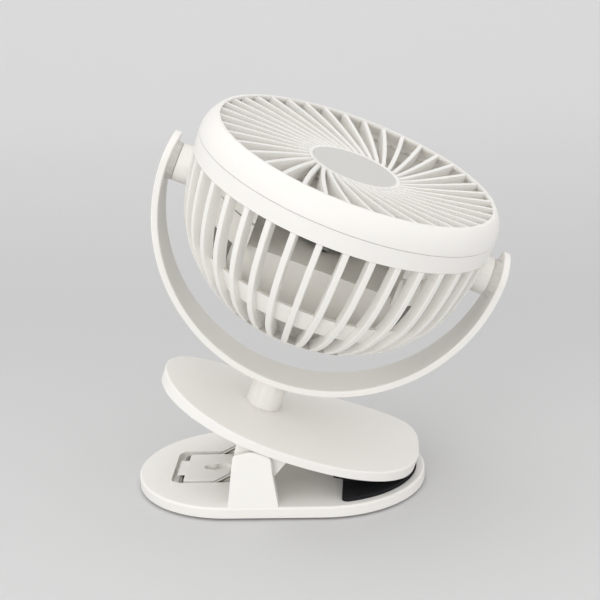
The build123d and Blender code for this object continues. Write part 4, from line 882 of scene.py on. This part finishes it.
class CLIPFAN_OT_impeller(bpy.types.Operator):
    """Finishes the fan's blades and hub"""

    bl_idname = "clipfan.impeller"
    bl_label = "Impeller"

    def execute(self, context):
        smooth_copy("impeller", "fan_blades", "impeller_rotor",
                    "inner_white_plastic")
        return {"FINISHED"}


class CLIPFAN_OT_stage(bpy.types.Operator):
    """Sets up the floor, backdrop, soft lights and the camera"""

    bl_idname = "clipfan.stage"
    bl_label = "Studio"

    azimuth: angle("Azimuth", "Turn of the camera", 0.066)
    elevation: angle("Elevation", "Height angle of the camera", 0.298)
    roll: angle("Roll", "Lean of the camera", -0.041)
    distance: length("Distance", "From the target to the camera", 599.87)
    lens: FloatProperty(name="Lens", description="Focal length in millimetres", default=83.0)
    target: FloatVectorProperty(
        name="Target", description="The point looked at", size=3, unit="LENGTH",
        default=(0.0112, 0.0, 0.08377),
    )
    air: FloatProperty(name="Air", description="Strength of the light from all sides", default=1.0)

    def camera(self, context):
        """Puts the camera where the photograph was taken from."""
        level = cos(self.elevation)
        back = Vector((sin(self.azimuth) * level, -cos(self.azimuth) * level, sin(self.elevation)))
        right = (-back).cross(Vector((0, 0, 1))).normalized()
        up = right.cross(-back)
        leaned_right = right * cos(self.roll) + up * sin(self.roll)
        leaned_up = up * cos(self.roll) - right * sin(self.roll)
        place = Matrix((leaned_right, leaned_up, back)).transposed().to_4x4()
        place.translation = Vector(self.target) + back * self.distance
        data = bpy.data.cameras.new("photo_camera")
        data.sensor_width = SENSOR_WIDTH
        data.lens = self.lens
        data.clip_start = NEAREST_SEEN
        camera = bpy.data.objects.new("photo_camera", data)
        camera.matrix_world = place
        context.scene.collection.objects.link(camera)
        context.scene.camera = camera

    def lamp(self, context, name, place, size, energy):
        """A round soft light that shines on the fan."""
        data = bpy.data.lights.new(name, "AREA")
        data.shape = "DISK"
        data.size = size
        data.energy = energy
        holder = bpy.data.objects.new(name, data)
        holder.location = place
        holder.rotation_euler = (LAMP_AIM - Vector(place)).to_track_quat("-Z", "Y").to_euler()
        context.scene.collection.objects.link(holder)

    def backdrop(self, context):
        """A floor that bends up into a backdrop."""
        work = bmesh.new()
        start = work.verts.new((0, FLOOR_FRONT, 0))
        end = work.verts.new((0, FLOOR_BACK, 0))
        work.edges.new((start, end))
        turned = bmesh.ops.spin(
            work, geom=[end], cent=(0, FLOOR_BACK, BACKDROP_BEND), axis=(1, 0, 0),
            angle=BACKDROP_TURN, steps=BACKDROP_STEPS, dvec=(0, 0, 0), use_duplicate=False,
        )
        last = [item for item in turned["geom_last"] if isinstance(item, bmesh.types.BMVert)]
        raised = bmesh.ops.extrude_vert_indiv(work, verts=last)
        bmesh.ops.translate(work, verts=raised["verts"], vec=BACKDROP_TOP)
        swept = bmesh.ops.extrude_edge_only(work, edges=work.edges[:])
        moved = [item for item in swept["geom"] if isinstance(item, bmesh.types.BMVert)]
        bmesh.ops.translate(work, verts=moved, vec=(STUDIO_WIDTH, 0, 0))
        bmesh.ops.translate(work, verts=work.verts, vec=(-STUDIO_WIDTH / 2, 0, 0))
        bmesh.ops.recalc_face_normals(work, faces=work.faces)
        mesh = bpy.data.meshes.new("studio_sweep")
        work.to_mesh(mesh)
        work.free()
        mesh.shade_smooth()
        colours = context.scene.clip_fan_colours
        mesh.materials.append(studio_paper("studio_paper", colours.floor, colours.backdrop))
        sweep = bpy.data.objects.new("studio_sweep", mesh)
        context.scene.collection.objects.link(sweep)

    def execute(self, context):
        self.camera(context)
        self.backdrop(context)
        for lamp in LAMPS:
            self.lamp(context, **lamp)
        world = bpy.data.worlds.new("studio_air")
        world.use_nodes = True
        air = world.node_tree.nodes["Background"]
        air.inputs["Color"].default_value = (1.0, 1.0, 1.0, 1.0)
        air.inputs["Strength"].default_value = self.air
        context.scene.world = world
        context.scene.view_settings.view_transform = "Standard"
        return {"FINISHED"}


class CLIPFAN_PT_panel(bpy.types.Panel):
    """Lists the fan's pieces and values"""

    bl_idname = "CLIPFAN_PT_panel"
    bl_label = "Clip Fan"
    bl_space_type = "VIEW_3D"
    bl_region_type = "UI"
    bl_category = "Clip Fan"

    def draw(self, context):
        for operator in OPERATORS:
            self.layout.operator(operator.bl_idname)
        for values in (context.scene.clip_fan_sizes, context.scene.clip_fan_colours):
            column = self.layout.column()
            for name in values.bl_rna.properties.keys():
                if name not in ("rna_type", "name"):
                    column.prop(values, name)


OPERATORS = (
    CLIPFAN_OT_base,
    CLIPFAN_OT_upper_jaw,
    CLIPFAN_OT_pads,
    CLIPFAN_OT_spring,
    CLIPFAN_OT_yoke,
    CLIPFAN_OT_bowl,
    CLIPFAN_OT_grille,
    CLIPFAN_OT_rear,
    CLIPFAN_OT_inside,
    CLIPFAN_OT_impeller,
    CLIPFAN_OT_stage,
)
CLASSES = (ClipFanSizes, ClipFanColours, *OPERATORS, CLIPFAN_PT_panel)


def register():
    """Registers the classes and the scene's values."""
    for cls in CLASSES:
        bpy.utils.register_class(cls)
    bpy.types.Scene.clip_fan_sizes = PointerProperty(type=ClipFanSizes)
    bpy.types.Scene.clip_fan_colours = PointerProperty(type=ClipFanColours)


def unregister():
    """Takes the classes and values away again."""
    del bpy.types.Scene.clip_fan_colours
    del bpy.types.Scene.clip_fan_sizes
    for cls in reversed(CLASSES):
        bpy.utils.unregister_class(cls)


def main():
    """Registers the add-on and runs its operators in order."""
    register()
    bpy.ops.clipfan.base()
    bpy.ops.clipfan.upper_jaw()
    bpy.ops.clipfan.pads()
    bpy.ops.clipfan.spring()
    bpy.ops.clipfan.yoke()
    bpy.ops.clipfan.bowl()
    bpy.ops.clipfan.grille()
    bpy.ops.clipfan.rear()
    bpy.ops.clipfan.inside()
    bpy.ops.clipfan.impeller()
    bpy.ops.clipfan.stage()


if __name__ == "__main__":
    main()
